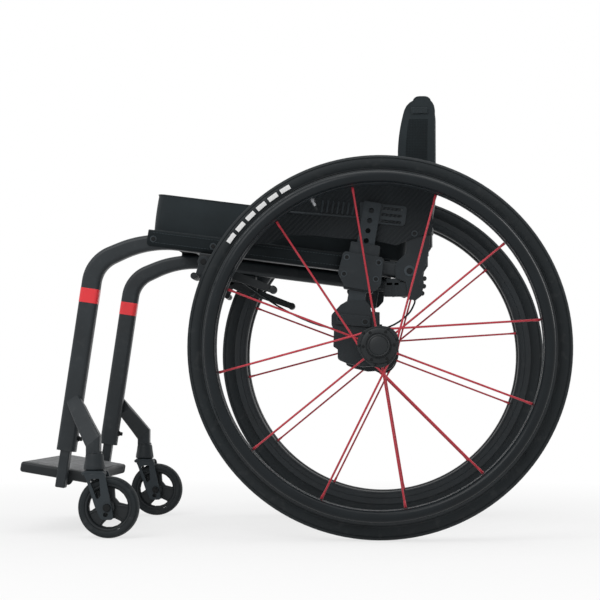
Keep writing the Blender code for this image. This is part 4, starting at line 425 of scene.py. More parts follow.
LOOP_STITCH = Vector((0, 0.0028, 0))
LOOP_STITCH_SPACE = 0.0032
HINGE_BAR_RADIUS = 0.009
HINGE_BAR_HALF = 0.1737

# Wheel lock
LOCK_BAR = (0.29389, 0.417)
LOCK_BAR_RADIUS = 0.0055
LOCK_ARM_PIVOT = (0.28391, 0.44316)
LOCK_LEVER_PIVOT = (0.2450, 0.4250)
LOCK_KNOB = (0.1705, 0.3972)
LOCK_MIDDLE = (0.2620, 0.46903)  # the seat line above the clamp
LOCK_BASE_INNER = 0.177
LOCK_BASE_OUTER = 0.212
LOCK_BASE_LONG = 0.058
LOCK_BASE_TALL = 0.016
LOCK_SCREW_AHEAD = 0.021
LOCK_ARM_THICK = 0.005
LOCK_LEVER_INNER = 0.2123
LOCK_SHOE_INNER = 0.2179
LOCK_BOSS_RADIUS = 0.009
LOCK_PIN_RADIUS = 0.004
LOCK_PINS = (  # (the inner face of what turns on it, its place, its head's height)
    (LOCK_LEVER_INNER, LOCK_LEVER_PIVOT, 0.0010),
    (LOCK_SHOE_INNER, LOCK_ARM_PIVOT, 0.0012),
)
LOCK_SPACER = 0.0068
LOCK_LEVER_WIDTHS = (0.0144, 0.0112)
LOCK_ARM_WIDTHS = (0.0126, 0.009)
LOCK_BAR_PAST = 0.0135  # past the wheel's middle plane
LOCK_BAR_CORE = LOCK_BAR_RADIUS - 0.0004
LOCK_SLEEVE = 0.030
LOCK_KNOB_PROFILE = (  # (radius, across)
    (0.0, 0.0), (0.0042, 0.0), (0.0060, 0.0008), (0.0066, 0.0026), (0.0066, 0.0100), (0.0058, 0.0112),
    (0.0058, 0.0122), (0.0066, 0.0134), (0.0066, 0.0152), (0.0054, 0.0170), (0.0026, 0.0180), (0.0, 0.0180),
)
LOCK_WALL_OUTLINE = (
    (-0.0270, -0.0260, 0.0), (-0.0270, -0.0490, 0.008), (-0.0120, -0.0545, 0.008), (0.0010, -0.0470, 0.008),
    (0.0320, -0.0340, 0.008), (0.0310, -0.0200, 0.0),
)

# Release cable: the places it passes, as (across, ahead, up)
CABLE_RADIUS = 0.0015
CABLE_STEPS = 4
CABLE_LUG = 0.006
CABLE_ROUTE = (
    (0.0400, 0.28801, 0.4605), (0.0405, 0.28399, 0.4560), (0.0410, 0.28001, 0.4515),
    (0.0500, 0.25201, 0.4330), (0.0640, 0.21200, 0.4050), (0.0820, 0.15999, 0.3715),
    (0.1040, 0.10002, 0.3450), (0.1280, 0.03501, 0.3335), (0.1520, -0.01500, 0.3400),
    (0.1710, -0.04499, 0.3580), (0.1820, -0.05649, 0.3750), (0.1840, -0.05799, 0.3840),
    (0.1840, -0.05799, 0.3940),
)

# Camera
CAMERA_PLACE = Vector((2.69057, 0.16901, 0.22110))
CAMERA_YAW = math.radians(3.61389)
CAMERA_PITCH = math.radians(3.68834)
CAMERA_ROLL = math.radians(0.09119)
CAMERA_LENS = 92.335
CAMERA_SENSOR = 36.0
CAMERA_CLIP = (0.1, 60.0)

# Studio
LAMPS = (  # (name, place, size)
    ("key", (2.3, -1.3, 2.4), 2.2), ("top", (0.3, 0.4, 3.0), 2.6), ("fill", (-1.2, 2.3, 1.5), 2.0),
)
LAMP_AIM = Vector((0.0, 0.0, 0.35))
WHITE = (1, 1, 1, 1)
FLOOR_WHITENESS = 0.70
FLOOR_FADE = (0.55, 1.6)  # from the middle, where the floor turns plain white

SEAT_TURN = Matrix.Rotation(-SEAT_SLOPE, 3, "X")
LEG_TURN = Matrix.Rotation(-LEG_TILT, 3, "X")
FOOTPLATE_TURN = Matrix.Rotation(-FOOTPLATE_TILT, 3, "X")
WHEEL_CENTRE = Vector((WHEEL, AXLE_BACK, AXLE_UP))


def at(across, ahead, up):
    """A point in the chair's own directions, as a world point."""
    return Vector((across, AXLE_BACK - ahead, up))


def on_seat(ahead, above):
    """(ahead, up) of a point square above the seat tube's middle line."""
    along = ahead / math.cos(SEAT_SLOPE)
    return (
        ahead - above * math.sin(SEAT_SLOPE),
        SEAT_UP + along * math.sin(SEAT_SLOPE) + above * math.cos(SEAT_SLOPE),
    )


def on_leg(forward, up):
    """(ahead, up) of a point forward of the leg's middle line, square to it, at a height."""
    share = (up - LEG_END[1]) / (NOSE[1] - LEG_END[1])
    ahead = LEG_END[0] + share * (NOSE[0] - LEG_END[0])
    return ahead + forward * math.cos(LEG_TILT), up + forward * math.sin(LEG_TILT)


def on_post(forward, along):
    """(ahead, up) of a point on the post, from its middle line at axle height."""
    return (
        POST_AHEAD + forward * math.cos(POST_TILT) - along * math.sin(POST_TILT),
        AXLE_UP + forward * math.sin(POST_TILT) + along * math.cos(POST_TILT),
    )


def on_wheel(offset, radius, angle):
    """A point on the left wheel: across its middle plane, out from the axle, and round from the rear."""
    return WHEEL_CENTRE + Vector((offset, 0, 0)) + Matrix.Rotation(angle, 3, "X") @ Vector((0, radius, 0))


def rounded(corners, steps=5):
    """A closed outline from (x, y, fillet radius) corners, with each fillet as an arc."""
    points = []
    for i, (x, y, radius) in enumerate(corners):
        here = Vector((x, y))
        back = Vector(corners[i - 1][:2]) - here
        on = Vector(corners[(i + 1) % len(corners)][:2]) - here
        turn = back.angle(on)
        reach = min(radius / math.tan(turn / 2), 0.49 * back.length, 0.49 * on.length)
        if radius <= 0 or reach < 1e-5 or turn > math.radians(179):
            points.append(here)
            continue
        points.extend(fillet(here, back, on, reach, steps))
    return points


def fillet(here, back, on, reach, steps):
    """The points of an arc that starts and ends a reach from a corner."""
    turn = back.angle(on)
    middle = here + (back.normalized() + on.normalized()).normalized() * reach / math.cos(turn / 2)
    first = here + back.normalized() * reach - middle
    swing = first.angle_signed(here + on.normalized() * reach - middle)
    points = []
    for step in range(steps + 1):
        arm = first.copy()
        arm.rotate(Matrix.Rotation(-swing * step / steps, 2))
        points.append(middle + arm)
    return points


def bend(start, corner, end, radius, steps):
    """The points of the arc between two straight runs of a tube that meet at a corner."""
    here = Vector(corner)
    back, on = Vector(start) - here, Vector(end) - here
    return fillet(here, back, on, radius / math.tan(back.angle(on) / 2), steps)


def circle(radius, steps, x=0.0, y=0.0):
    """A round outline, as corners with no fillet."""
    turns = (i * math.tau / steps for i in range(steps))
    return [(x + radius * math.cos(turn), y + radius * math.sin(turn), 0) for turn in turns]


def rectangle(wide, deep, corner, steps=5):
    """A rounded rectangle's outline about its middle."""
    corners = [(wide / 2 * x, deep / 2 * y, corner) for x, y in ((1, 1), (-1, 1), (-1, -1), (1, -1))]
    return rounded(corners, steps)


def mirrored(half):
    """A profile that is the same on both sides of its middle plane, from one side's points."""
    return [(radius, -along) for radius, along in reversed(half) if along] + list(half)


def moved(outline, ahead, up):
    """An outline of corners moved to a place."""
    return [(x + ahead, y + up, radius) for x, y, radius in outline]


def ring_of(shape, points, closed=True):
    """Edges through points, in order."""
    verts = [shape.verts.new(point) for point in points]
    pairs = zip(verts, verts[1:] + verts[:1] if closed else verts[1:])
    return [shape.edges.new(pair) for pair in pairs]


def points_of(made):
    """The points among what an extrusion made."""
    return [item for item in made if isinstance(item, bmesh.types.BMVert)]


def tidied(shape):
    """Joins a shape's doubled points and turns its faces outwards."""
    bmesh.ops.remove_doubles(shape, verts=shape.verts, dist=WELD)
    shape.normal_update()
    bmesh.ops.recalc_face_normals(shape, faces=shape.faces)
    return shape


def softened(shape, width, segments=2, over=SHARP):
    """Rounds the edges where a shape turns sharply."""
    shape.normal_update()
    edges = [edge for edge in shape.edges if edge.is_manifold and edge.calc_face_angle() > over]
    bmesh.ops.bevel(
        shape,
        geom=edges,
        offset=width,
        offset_type="OFFSET",
        segments=segments,
        profile=0.5,
        affect="EDGES",
        clamp_overlap=True,
        material=-1,
    )
    return shape


def placed(shape, matrix):
    bmesh.ops.transform(shape, matrix=matrix.to_4x4(), verts=shape.verts)
    return shape


def panel(loops, push, edge=0.0, segments=2):
    """A flat piece from outlines of world points, the first its rim and the rest its holes."""
    shape = bmesh.new()
    edges = [line for loop in loops for line in ring_of(shape, loop)]
    if len(loops) > 1:
        bmesh.ops.triangle_fill(shape, use_beauty=True, edges=edges, normal=push.normalized())
    else:
        bmesh.ops.contextual_create(shape, geom=edges)
    made = bmesh.ops.extrude_face_region(shape, geom=shape.faces[:])["geom"]
    verts = points_of(made)
    bmesh.ops.translate(shape, verts=verts, vec=push)
    tidied(shape)
    return softened(shape, edge, segments) if edge else shape


def plate(corners, inner, outer, edge=0.0, holes=(), steps=5, segments=2):
    """A flat piece square to X: its corners are (ahead, up, fillet radius)."""
    loops = [[at(inner, *place) for place in rounded(outline, steps)] for outline in (corners, *holes)]
    return panel(loops, Vector((outer - inner, 0, 0)), edge, segments)


def block(size, centre, turn=None, edge=0.0, segments=3):
    """A box with rounded edges, turned about its centre."""
    shape = bmesh.new()
    bmesh.ops.create_cube(shape, size=1, matrix=Matrix.Diagonal((*size, 1)))
    if edge:
        softened(shape, edge, segments)
    return placed(shape, Matrix.Translation(centre) @ (turn or Matrix.Identity(3)).to_4x4())


def rod(radius, start, end, sides=24, end_radius=None, edge=0.0):
    """A round bar or cone from one world point to another."""
    shape = bmesh.new()
    along = end - start
    turn = Vector((0, 0, 1)).rotation_difference(along).to_matrix().to_4x4()
    bmesh.ops.create_cone(
        shape,
        cap_ends=True,
        segments=sides,
        radius1=radius,
        radius2=radius if end_radius is None else end_radius,
        depth=along.length,
        matrix=Matrix.Translation((start + end) / 2) @ turn,
    )
    tidied(shape)
    return softened(shape, edge, 2) if edge else shape


def cross_rod(radius, ahead, up, inner, outer, sides=24, edge=0.0):
    """A round bar along X."""
    return rod(radius, at(inner, ahead, up), at(outer, ahead, up), sides, edge=edge)


def turned(profile, centre, steps=64, axis="X", start=0.0, sweep=math.tau):
    """A turned piece about X or Z, or a stretch of one: its profile is (radius, along the axis)."""
    shape = bmesh.new()
    to_axis = profile[0][0] == 0
    ring_of(shape, [(along, radius, 0) for radius, along in profile], closed=not to_axis)
    placed(shape, Matrix.Rotation(start, 3, "X"))
    full = sweep > math.tau - 1e-6
    bmesh.ops.spin(
        shape,
        geom=shape.verts[:] + shape.edges[:],
        cent=(0, 0, 0),
        axis=(1, 0, 0),
        angle=sweep,
        steps=steps,
        use_merge=full,
    )
    bmesh.ops.remove_doubles(shape, verts=shape.verts, dist=WELD)
    if not full:
        bmesh.ops.edgeloop_fill(shape, edges=[edge for edge in shape.edges if edge.is_boundary])
    stand = Matrix.Rotation(-math.pi / 2, 4, "Y") if axis == "Z" else Matrix.Identity(4)
    return tidied(placed(shape, Matrix.Translation(centre) @ stand))


def lofted(rings, closed=False):
    """A body through rings of points, with flat ends or joined into a loop."""
    shape = bmesh.new()
    loops = [ring_of(shape, ring) for ring in rings]
    for here, on in zip(loops, loops[1:] + loops[:1] if closed else loops[1:]):
        bmesh.ops.bridge_loops(shape, edges=here + on)
    if not closed:
        bmesh.ops.edgeloop_fill(shape, edges=loops[0])
        bmesh.ops.edgeloop_fill(shape, edges=loops[-1])
    return tidied(shape)


def swept(points, section, closed=False, level=Vector((1, 0, 0)), fuller=None):
    """A bar of one (across, square to it) section along a line of world points.

    fuller says for each point how much further out the section's outer half is.
    """
    rings = []
    last = len(points) - 1
    for i, here in enumerate(points):
        before = (here - points[i - 1]).normalized() if i or closed else None
        after = (points[(i + 1) % len(points)] - here).normalized() if i < last or closed else None
        heading = ((before or after) + (after or before)).normalized()
        stretch = 1 / max(0.5, heading.dot(before or after))
        level = (level - heading * level.dot(heading)).normalized()
        square = level.cross(heading) * stretch
        more = fuller[i] if fuller else 0.0
        rings.append([here + level * x + square * (y - more * (y < 0)) for x, y in section])
    return lofted(rings, closed)


def together(*shapes):
    """Several shapes as one, each keeping its finish."""
    first = shapes[0]
    for other in shapes[1:]:
        mesh = bpy.data.meshes.new("passing")
        other.to_mesh(mesh)
        first.from_mesh(mesh)
        bpy.data.meshes.remove(mesh)
        other.free()
    return first


def painted(shape, index):
    """Gives a whole shape the finish at that place in its piece's list."""
    for face in shape.faces:
        face.material_index = index
    return shape


def screw_head(place, radius, tall, outward=Vector((1, 0, 0)), socket=0.45):
    """A round screw head with a hexagon socket, standing on a face."""
    shape = bmesh.new()
    steps = 24
    bmesh.ops.create_cone(
        shape, cap_ends=True, segments=steps, radius1=radius, radius2=radius * 0.86, depth=tall
    )
    top = max(shape.faces, key=lambda face: face.calc_center_median().z)
    bmesh.ops.inset_individual(shape, faces=[top], thickness=radius * (0.86 - socket))
    for vert in top.verts:
        turn = math.atan2(vert.co.y, vert.co.x) % math.radians(60) - math.radians(30)
        reach = radius * socket * 0.9 / math.cos(turn)
        vert.co.xy = vert.co.xy.normalized() * reach
    made = bmesh.ops.extrude_face_region(shape, geom=[top])["geom"]
    verts = points_of(made)
    bmesh.ops.translate(shape, verts=verts, vec=(0, 0, -tall * 0.6))
    turn = Vector((0, 0, 1)).rotation_difference(outward).to_matrix().to_4x4()
    lifted = Matrix.Translation(place + outward * tall / 2) @ turn
    return tidied(placed(shape, lifted))


def bead(radius, place, tall=0.0016, steps=32):
    """A weld round a tube that runs along X."""
    profile = [(radius - tall / 2, -2 * tall), (radius + tall, -tall / 2), (radius + tall, tall / 2)]
    profile.append((radius - tall / 2, 2 * tall))
    return turned(profile, place, steps)


def finished(name, shape, finishes, body, nodes=(), even=True):
    """Makes a piece of a shape: it rides on a body and stands for CAD nodes."""
    mesh = bpy.data.meshes.new(name)
    shape.to_mesh(mesh)
    shape.free()
    mesh.shade_smooth()
    mesh.set_sharp_from_angle(angle=SHARP)
    for one in finishes:
        mesh.materials.append(finish(one))
    piece = bpy.data.objects.new(name, mesh)
    bpy.context.scene.collection.objects.link(piece)
    if even:
        normals = piece.modifiers.new("even normals", "WEIGHTED_NORMAL")
        normals.keep_sharp = True
    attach(piece, body)
    if nodes:
        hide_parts(*nodes)
    return piece


def flipped(shape):
    """Makes a shape its own mirror image, on the chair's other side."""
    placed(shape, Matrix.Diagonal((-1, 1, 1)))
    bmesh.ops.reverse_faces(shape, faces=shape.faces)
    return shape


def oval(half_x, half_y, steps):
    """A round section stretched to its own two half widths."""
    return [(half_x * x, half_y * y) for x, y, _ in circle(1.0, steps)]


def both_sides(stem, shape, finishes, body, node=None, even=True):
    """The same piece on both sides of the chair; the right one is the left one's mirror image."""
    other = flipped(shape.copy())
    made = []
    for (side, _), half in zip(SIDES, (shape, other)):
        nodes = [f"{node}_{side}"] if node else []
        on_body = body if body in frame["bodies"] else f"{body}_{side}"
        made.append(finished(f"{stem}_{side}", half, finishes, on_body, nodes, even))
    return made


class Wiring:
    """Adds the nodes of one material and joins them."""

    def __init__(self, tree):
        self.tree = tree

    def add(self, kind, inputs=None, **settings):
        node = self.tree.nodes.new(kind)
        for name, value in settings.items():
            setattr(node, name, value)
        for name, value in (inputs or {}).items():
            if isinstance(value, bpy.types.NodeSocket):
                self.tree.links.new(value, node.inputs[name])
            else:
                node.inputs[name].default_value = value
        return node

    def place(self):
        return self.add("ShaderNodeTexCoord").outputs["Object"]

    def noise(self, place, size, detail=3.0):
        """Cloudy noise whose blotches are about a size."""
        inputs = {"Vector": place, "Scale": 1 / size, "Detail": detail}
        return self.add("ShaderNodeTexNoise", inputs).outputs[0]

    def bands(self, place, period, direction, turn=(0, 0, 0)):
        """Even waves of a period along one direction."""
        if any(turn):
            place = self.add("ShaderNodeMapping", {"Vector": place, "Rotation": turn}).outputs[0]
        inputs = {"Vector": place, "Scale": math.pi / (10 * period)}
        return self.add("ShaderNodeTexWave", inputs, bands_direction=direction).outputs["Fac"]

    def maths(self, operation, first, second):
        return self.add("ShaderNodeMath", {0: first, 1: second}, operation=operation).outputs[0]

    def spread(self, value, low, high, start=0.3, end=0.7):
        """A value stretched from one range to another."""
        inputs = {"Value": value, "From Min": start, "From Max": end, "To Min": low, "To Max": high}
        return self.add("ShaderNodeMapRange", inputs).outputs[0]

    def ramp(self, value, *stops):
        """Colours along a value, from (position, colour) stops."""
        node = self.add("ShaderNodeValToRGB", {"Fac": value})
        for element, (position, colour) in zip(node.color_ramp.elements, stops):
            element.position = position
            element.color = (*colour, 1)
        return node.outputs["Color"]

    def mix(self, share, first, second):
        return self.add("ShaderNodeMixRGB", {"Fac": share, "Color1": first, "Color2": second}).outputs[0]

    def bump(self, height, depth, below=None):
        inputs = {"Height": height, "Distance": depth, "Strength": 1.0}
        if below is not None:
            inputs["Normal"] = below
        return self.add("ShaderNodeBump", inputs).outputs[0]


def scaled(colour, share):
    return tuple(min(1.0, value * share) for value in colour)


def dress(
    wires,
    colour,
    roughness,
    metallic=0.0,
    specular=0.25,
    grain=0.0009,
    depth=0.00003,
    uneven=0.15,
    wear=0.0,
    sheen=0.0,
    coat=0.0,
    heights=(),
):
    """The common part of every finish: uneven colour, fine grain, worn patches and any relief, whose low
    parts are painted darker.
    """
    place = wires.place()
    cloud = wires.noise(place, 0.05)
    tone = wires.ramp(cloud, (0.3, scaled(colour, 1 - uneven)), (0.7, scaled(colour, 1 + uneven)))
    rough = wires.spread(cloud, roughness - 0.05, roughness + 0.05)
    if wear:
        scuffs = wires.spread(wires.noise(place, 0.014, 8.0), 0.0, wear, 0.56, 0.70)
        tone = wires.mix(scuffs, tone, (*[value * 0.6 + 0.12 for value in colour], 1))
        rough = wires.maths("ADD", rough, wires.maths("MULTIPLY", scuffs, 0.3))
    normal = wires.bump(wires.noise(place, grain, 2.0), depth)
    for pattern, relief, shade in heights:
        height = pattern(wires, place)
        normal = wires.bump(height, relief, normal)
        # Low parts of a relief are painted darker: painted shade in the gaps of weaves and the grooves of
        # knurls, and the own dark tone of the guard's twill and the grip's blotches.
        if shade:
            tone = wires.mix(wires.spread(height, shade, 0.0, 0.0, 0.6), tone, (*scaled(colour, 0.35), 1))
    inputs = {
        "Base Color": tone,
        "Roughness": rough,
        "Metallic": metallic,
        "Specular IOR Level": specular,
        "Sheen Weight": sheen,
        "Coat Weight": coat,
        "Normal": normal,
    }
    shader = wires.tree.nodes["Principled BSDF"]
    for name, value in inputs.items():
        if isinstance(value, bpy.types.NodeSocket):
            wires.tree.links.new(value, shader.inputs[name])
        else:
            shader.inputs[name].default_value = value
    return shader


def plain_weave(period):
    """Threads that cross square to each other, on faces that look any way."""

    def pattern(wires, place):
        across = wires.maths("ADD", wires.bands(place, period, "X"), wires.bands(place, period, "Z"))
        both = wires.maths("ADD", across, wires.bands(place, period, "Y"))
        return wires.maths("MULTIPLY", both, 1 / 3)

    return pattern


def woven(period, depth, shade):
    """A plain weave as the one relief of a finish; shade is how dark its gaps are painted, as painted
    shade.
    """
    return ((plain_weave(period), depth, shade),)


def twill(period):
    """Slanting ribs with a finer thread across them."""

    def pattern(wires, place):
        slanted = wires.bands(place, period, "Y", (math.radians(45), 0, 0))
        crossing = wires.bands(place, period / 2, "Z", (math.radians(45), 0, 0))
        return wires.maths("MULTIPLY", slanted, wires.maths("ADD", crossing, 0.6))

    return pattern


def brushed(wires, place):
    """Fine lines round the X axis, as a lathe leaves them."""
    stretched = wires.add("ShaderNodeMapping", {"Vector": place, "Scale": (1.0, 0.04, 0.04)}).outputs[0]
    return wires.noise(stretched, 0.0006, 2.0)


def grips(wires, place):
    """Coarse blotches of a gritty tread."""
    return wires.noise(place, 0.0035, 6.0)


def mottles(wires, place):
    """Broad dark and pale patches."""
    return wires.noise(place, 0.020, 5.0)


def knurl(wires, place):
    return wires.maths("MULTIPLY", wires.bands(place, 0.0012, "Y"), wires.bands(place, 0.0012, "Z"))


def ring(inner, outer, tall, inner_slant, outer_slant):
    """A flat ring's profile, narrower on top."""
    return [(inner, 0.0), (outer, 0.0), (outer - outer_slant, tall), (inner + inner_slant, tall)]


def bar_on_post(wide, foot, top, corner):
    """The outline of a bar along the post."""
    corners = ((wide / 2, top), (-wide / 2, top), (-wide / 2, foot), (wide / 2, foot))
    return [(*on_post(*place), corner) for place in corners]


def make_finishes():
    """Every finish by name, as what it asks of the common part."""
    colours = bpy.context.scene.wheelchair_colours
    paint, plastic, rubber = tuple(colours.paint), tuple(colours.plastic), tuple(colours.rubber)
    fabric, spoke, band = tuple(colours.fabric), tuple(colours.spoke), tuple(colours.band)
    steel, print_white = tuple(colours.steel), tuple(colours.side_marks)
    cast = dict(roughness=0.50, grain=0.0012, depth=0.00008, wear=0.05)
    lathe = ((brushed, 0.00003, 0.0),)
    return {
        "paint": dict(
            colour=paint, roughness=0.42, specular=0.30, grain=0.0007, depth=0.00004, wear=0.06
        ),
        "anodised": dict(colour=scaled(paint, 0.75), roughness=0.24, specular=0.15, uneven=0.1),
        "casting": dict(colour=paint, **cast),
        # Painted light: the same casting made half again as light, for the post and the fork, standing in
        # for the light they catch.
        "pale casting": dict(colour=scaled(paint, 1.5), **cast),
        # Painted highlight: the rings round screws and pins are far lighter than the paint, as if their
        # edges were lit.
        "screw ring": dict(colour=scaled(paint, 2.2), roughness=0.40, specular=0.3),
        "plastic": dict(
            colour=plastic, roughness=0.48, specular=0.28, grain=0.0008, depth=0.00004
        ),
        "guard": dict(
            colour=scaled(paint, 0.75), roughness=0.50, specular=0.18,
            heights=((twill(0.0060), 0.0003, 0.35),),
        ),
        # Painted highlight: the vent, ribs and ledge are lighter than the guard, as if their raised faces
        # caught the light.
        "raised guard": dict(colour=scaled(paint, 1.5), roughness=0.42),
        "rubber": dict(
            colour=rubber, roughness=0.68, specular=0.24, grain=0.0011, depth=0.00008, wear=0.10
        ),
        "caster rubber": dict(
            colour=rubber, roughness=0.62, specular=0.24, depth=0.00006, wear=0.14
        ),
        "side marks": dict(colour=print_white, roughness=0.55, uneven=0.05, wear=0.2),
        "spoke": dict(colour=spoke, roughness=0.38, specular=0.4, metallic=0.2, uneven=0.08),
        "band": dict(colour=band, roughness=0.30, specular=0.4, uneven=0.05, coat=0.3),
        "fabric": dict(
            colour=fabric, roughness=0.85, specular=0.12, sheen=0.25,
            heights=woven(0.0016, 0.00025, 0.4),
        ),
        "sling fabric": dict(
            colour=scaled(fabric, 0.55), roughness=0.8, specular=0.12,
            heights=woven(0.0014, 0.0002, 0.3),
        ),
        "mesh fabric": dict(
            colour=scaled(fabric, 0.75), roughness=0.9, specular=0.1, sheen=0.12,
            heights=woven(0.0026, 0.0005, 0.7),
        ),
        "piping": dict(
            colour=fabric, roughness=0.8, specular=0.15, sheen=0.25,
            heights=woven(0.0010, 0.0002, 0.3),
        ),
        "thread": dict(
            colour=scaled(fabric, 2.2), roughness=0.7, specular=0.2,
            heights=woven(0.0004, 0.0001, 0.2),
        ),
        "grip": dict(
            colour=(0.17, 0.175, 0.18), roughness=0.6, uneven=0.3,
            heights=((grips, 0.0006, 0.5), (mottles, 0.0002, 1.0)),
        ),
        "steel": dict(
            colour=steel, roughness=0.32, metallic=1.0, specular=0.5, uneven=0.08, heights=lathe
        ),
        "dark steel": dict(
            colour=scaled(paint, 0.25), roughness=0.34, specular=0.2, uneven=0.1, heights=lathe
        ),
        "knurled": dict(
            colour=plastic, roughness=0.5, specular=0.3, heights=((knurl, 0.0004, 0.4),)
        ),
        "cable": dict(colour=rubber, roughness=0.45, specular=0.35, grain=0.0005, depth=0.00002),
    }


def finish(name):
    """The finish called name, made once."""
    key = "finish " + name
    if key not in bpy.data.materials:
        made = bpy.data.materials.new(key)
        made.use_nodes = True
        dress(Wiring(made.node_tree), **make_finishes()[name])
    return bpy.data.materials[key]


class WheelSizes(bpy.types.PropertyGroup):
    """Sizes of the rear wheels and casters"""

    steps: IntProperty(name="Steps", description="Faces round a rear wheel", default=144, min=48, max=256)
    spoke_radius: FloatProperty(
        name="Spoke radius", description="Radius of a spoke", default=0.0017, min=0.001, max=0.003,
        unit="LENGTH",
    )
    marks: IntProperty(
        name="Side marks", description="Plain dashes in a group on a tyre's side", default=6, min=0,
        max=12,
    )
    mark_tall: FloatProperty(
        name="Mark height", description="Height of a dash on a tyre's side", default=0.0074, min=0.001,
        max=0.010, unit="LENGTH",
    )


class SeatSizes(bpy.types.PropertyGroup):
    """Sizes of the soft pieces"""

    puff: FloatProperty(
        name="Puff", description="How far the padding may swell", default=0.003, min=0.0, max=0.010,
        unit="LENGTH",
    )
    piping: FloatProperty(
        name="Piping", description="Radius of the piping along the seams", default=0.0010, min=0.0005,
        max=0.004, unit="LENGTH",
    )
    stitch: FloatProperty(
        name="Stitch", description="Length of one stitch", default=0.0032, min=0.002, max=0.008,
        unit="LENGTH",
    )


class Colours(bpy.types.PropertyGroup):
    """Colours of the finishes"""

    paint: FloatVectorProperty(
        name="Paint", description="Painted tubes and castings", subtype="COLOR",
        default=(0.0145, 0.0190, 0.0222), min=0, max=1,
    )
    plastic: FloatVectorProperty(
        name="Plastic", description="Moulded pieces", subtype="COLOR", default=(0.0125, 0.0155, 0.0175),
        min=0, max=1,
    )
    rubber: FloatVectorProperty(
        name="Rubber", description="Tyres and cable", subtype="COLOR", default=(0.0116, 0.0153, 0.0174),
        min=0, max=1,
    )
    fabric: FloatVectorProperty(
        name="Fabric", description="Seat and back", subtype="COLOR", default=(0.0225, 0.0295, 0.0332),
        min=0, max=1,
    )
    spoke: FloatVectorProperty(
        name="Spokes", description="Anodised spokes", subtype="COLOR", default=(0.460, 0.032, 0.050),
        min=0, max=1,
    )
    band: FloatVectorProperty(
        name="Leg bands", description="Bands round the front legs", subtype="COLOR",
        default=(0.760, 0.022, 0.032), min=0, max=1,
    )
    steel: FloatVectorProperty(
        name="Steel", description="Pins and screws", subtype="COLOR", default=(0.42, 0.43, 0.45), min=0,
        max=1,
    )
    side_marks: FloatVectorProperty(
        name="Side marks", description="Dashes on the tyres", subtype="COLOR", default=(0.88, 0.88, 0.88),
        min=0, max=1,
    )
    floor: FloatVectorProperty(
        name="Floor", description="Studio floor", subtype="COLOR", default=(0.86, 0.86, 0.86), min=0,
        max=1,
    )


class StageSizes(bpy.types.PropertyGroup):
    """The studio round the chair"""

    key_power: FloatProperty(
        name="Key lamp", description="Power of the main lamp", default=42.0, min=0, unit="POWER"
    )
    top_power: FloatProperty(
        name="Top lamp", description="Power of the lamp overhead", default=24.0, min=0, unit="POWER"
    )
    fill_power: FloatProperty(
        name="Fill lamp", description="Power of the lamp behind", default=16.0, min=0, unit="POWER"
    )
    sky: FloatProperty(name="Sky", description="Strength of the even light", default=0.45, min=0, max=1)
    floor_radius: FloatProperty(
        name="Floor radius", description="Radius of the floor", default=12.0, min=2, unit="LENGTH"
    )


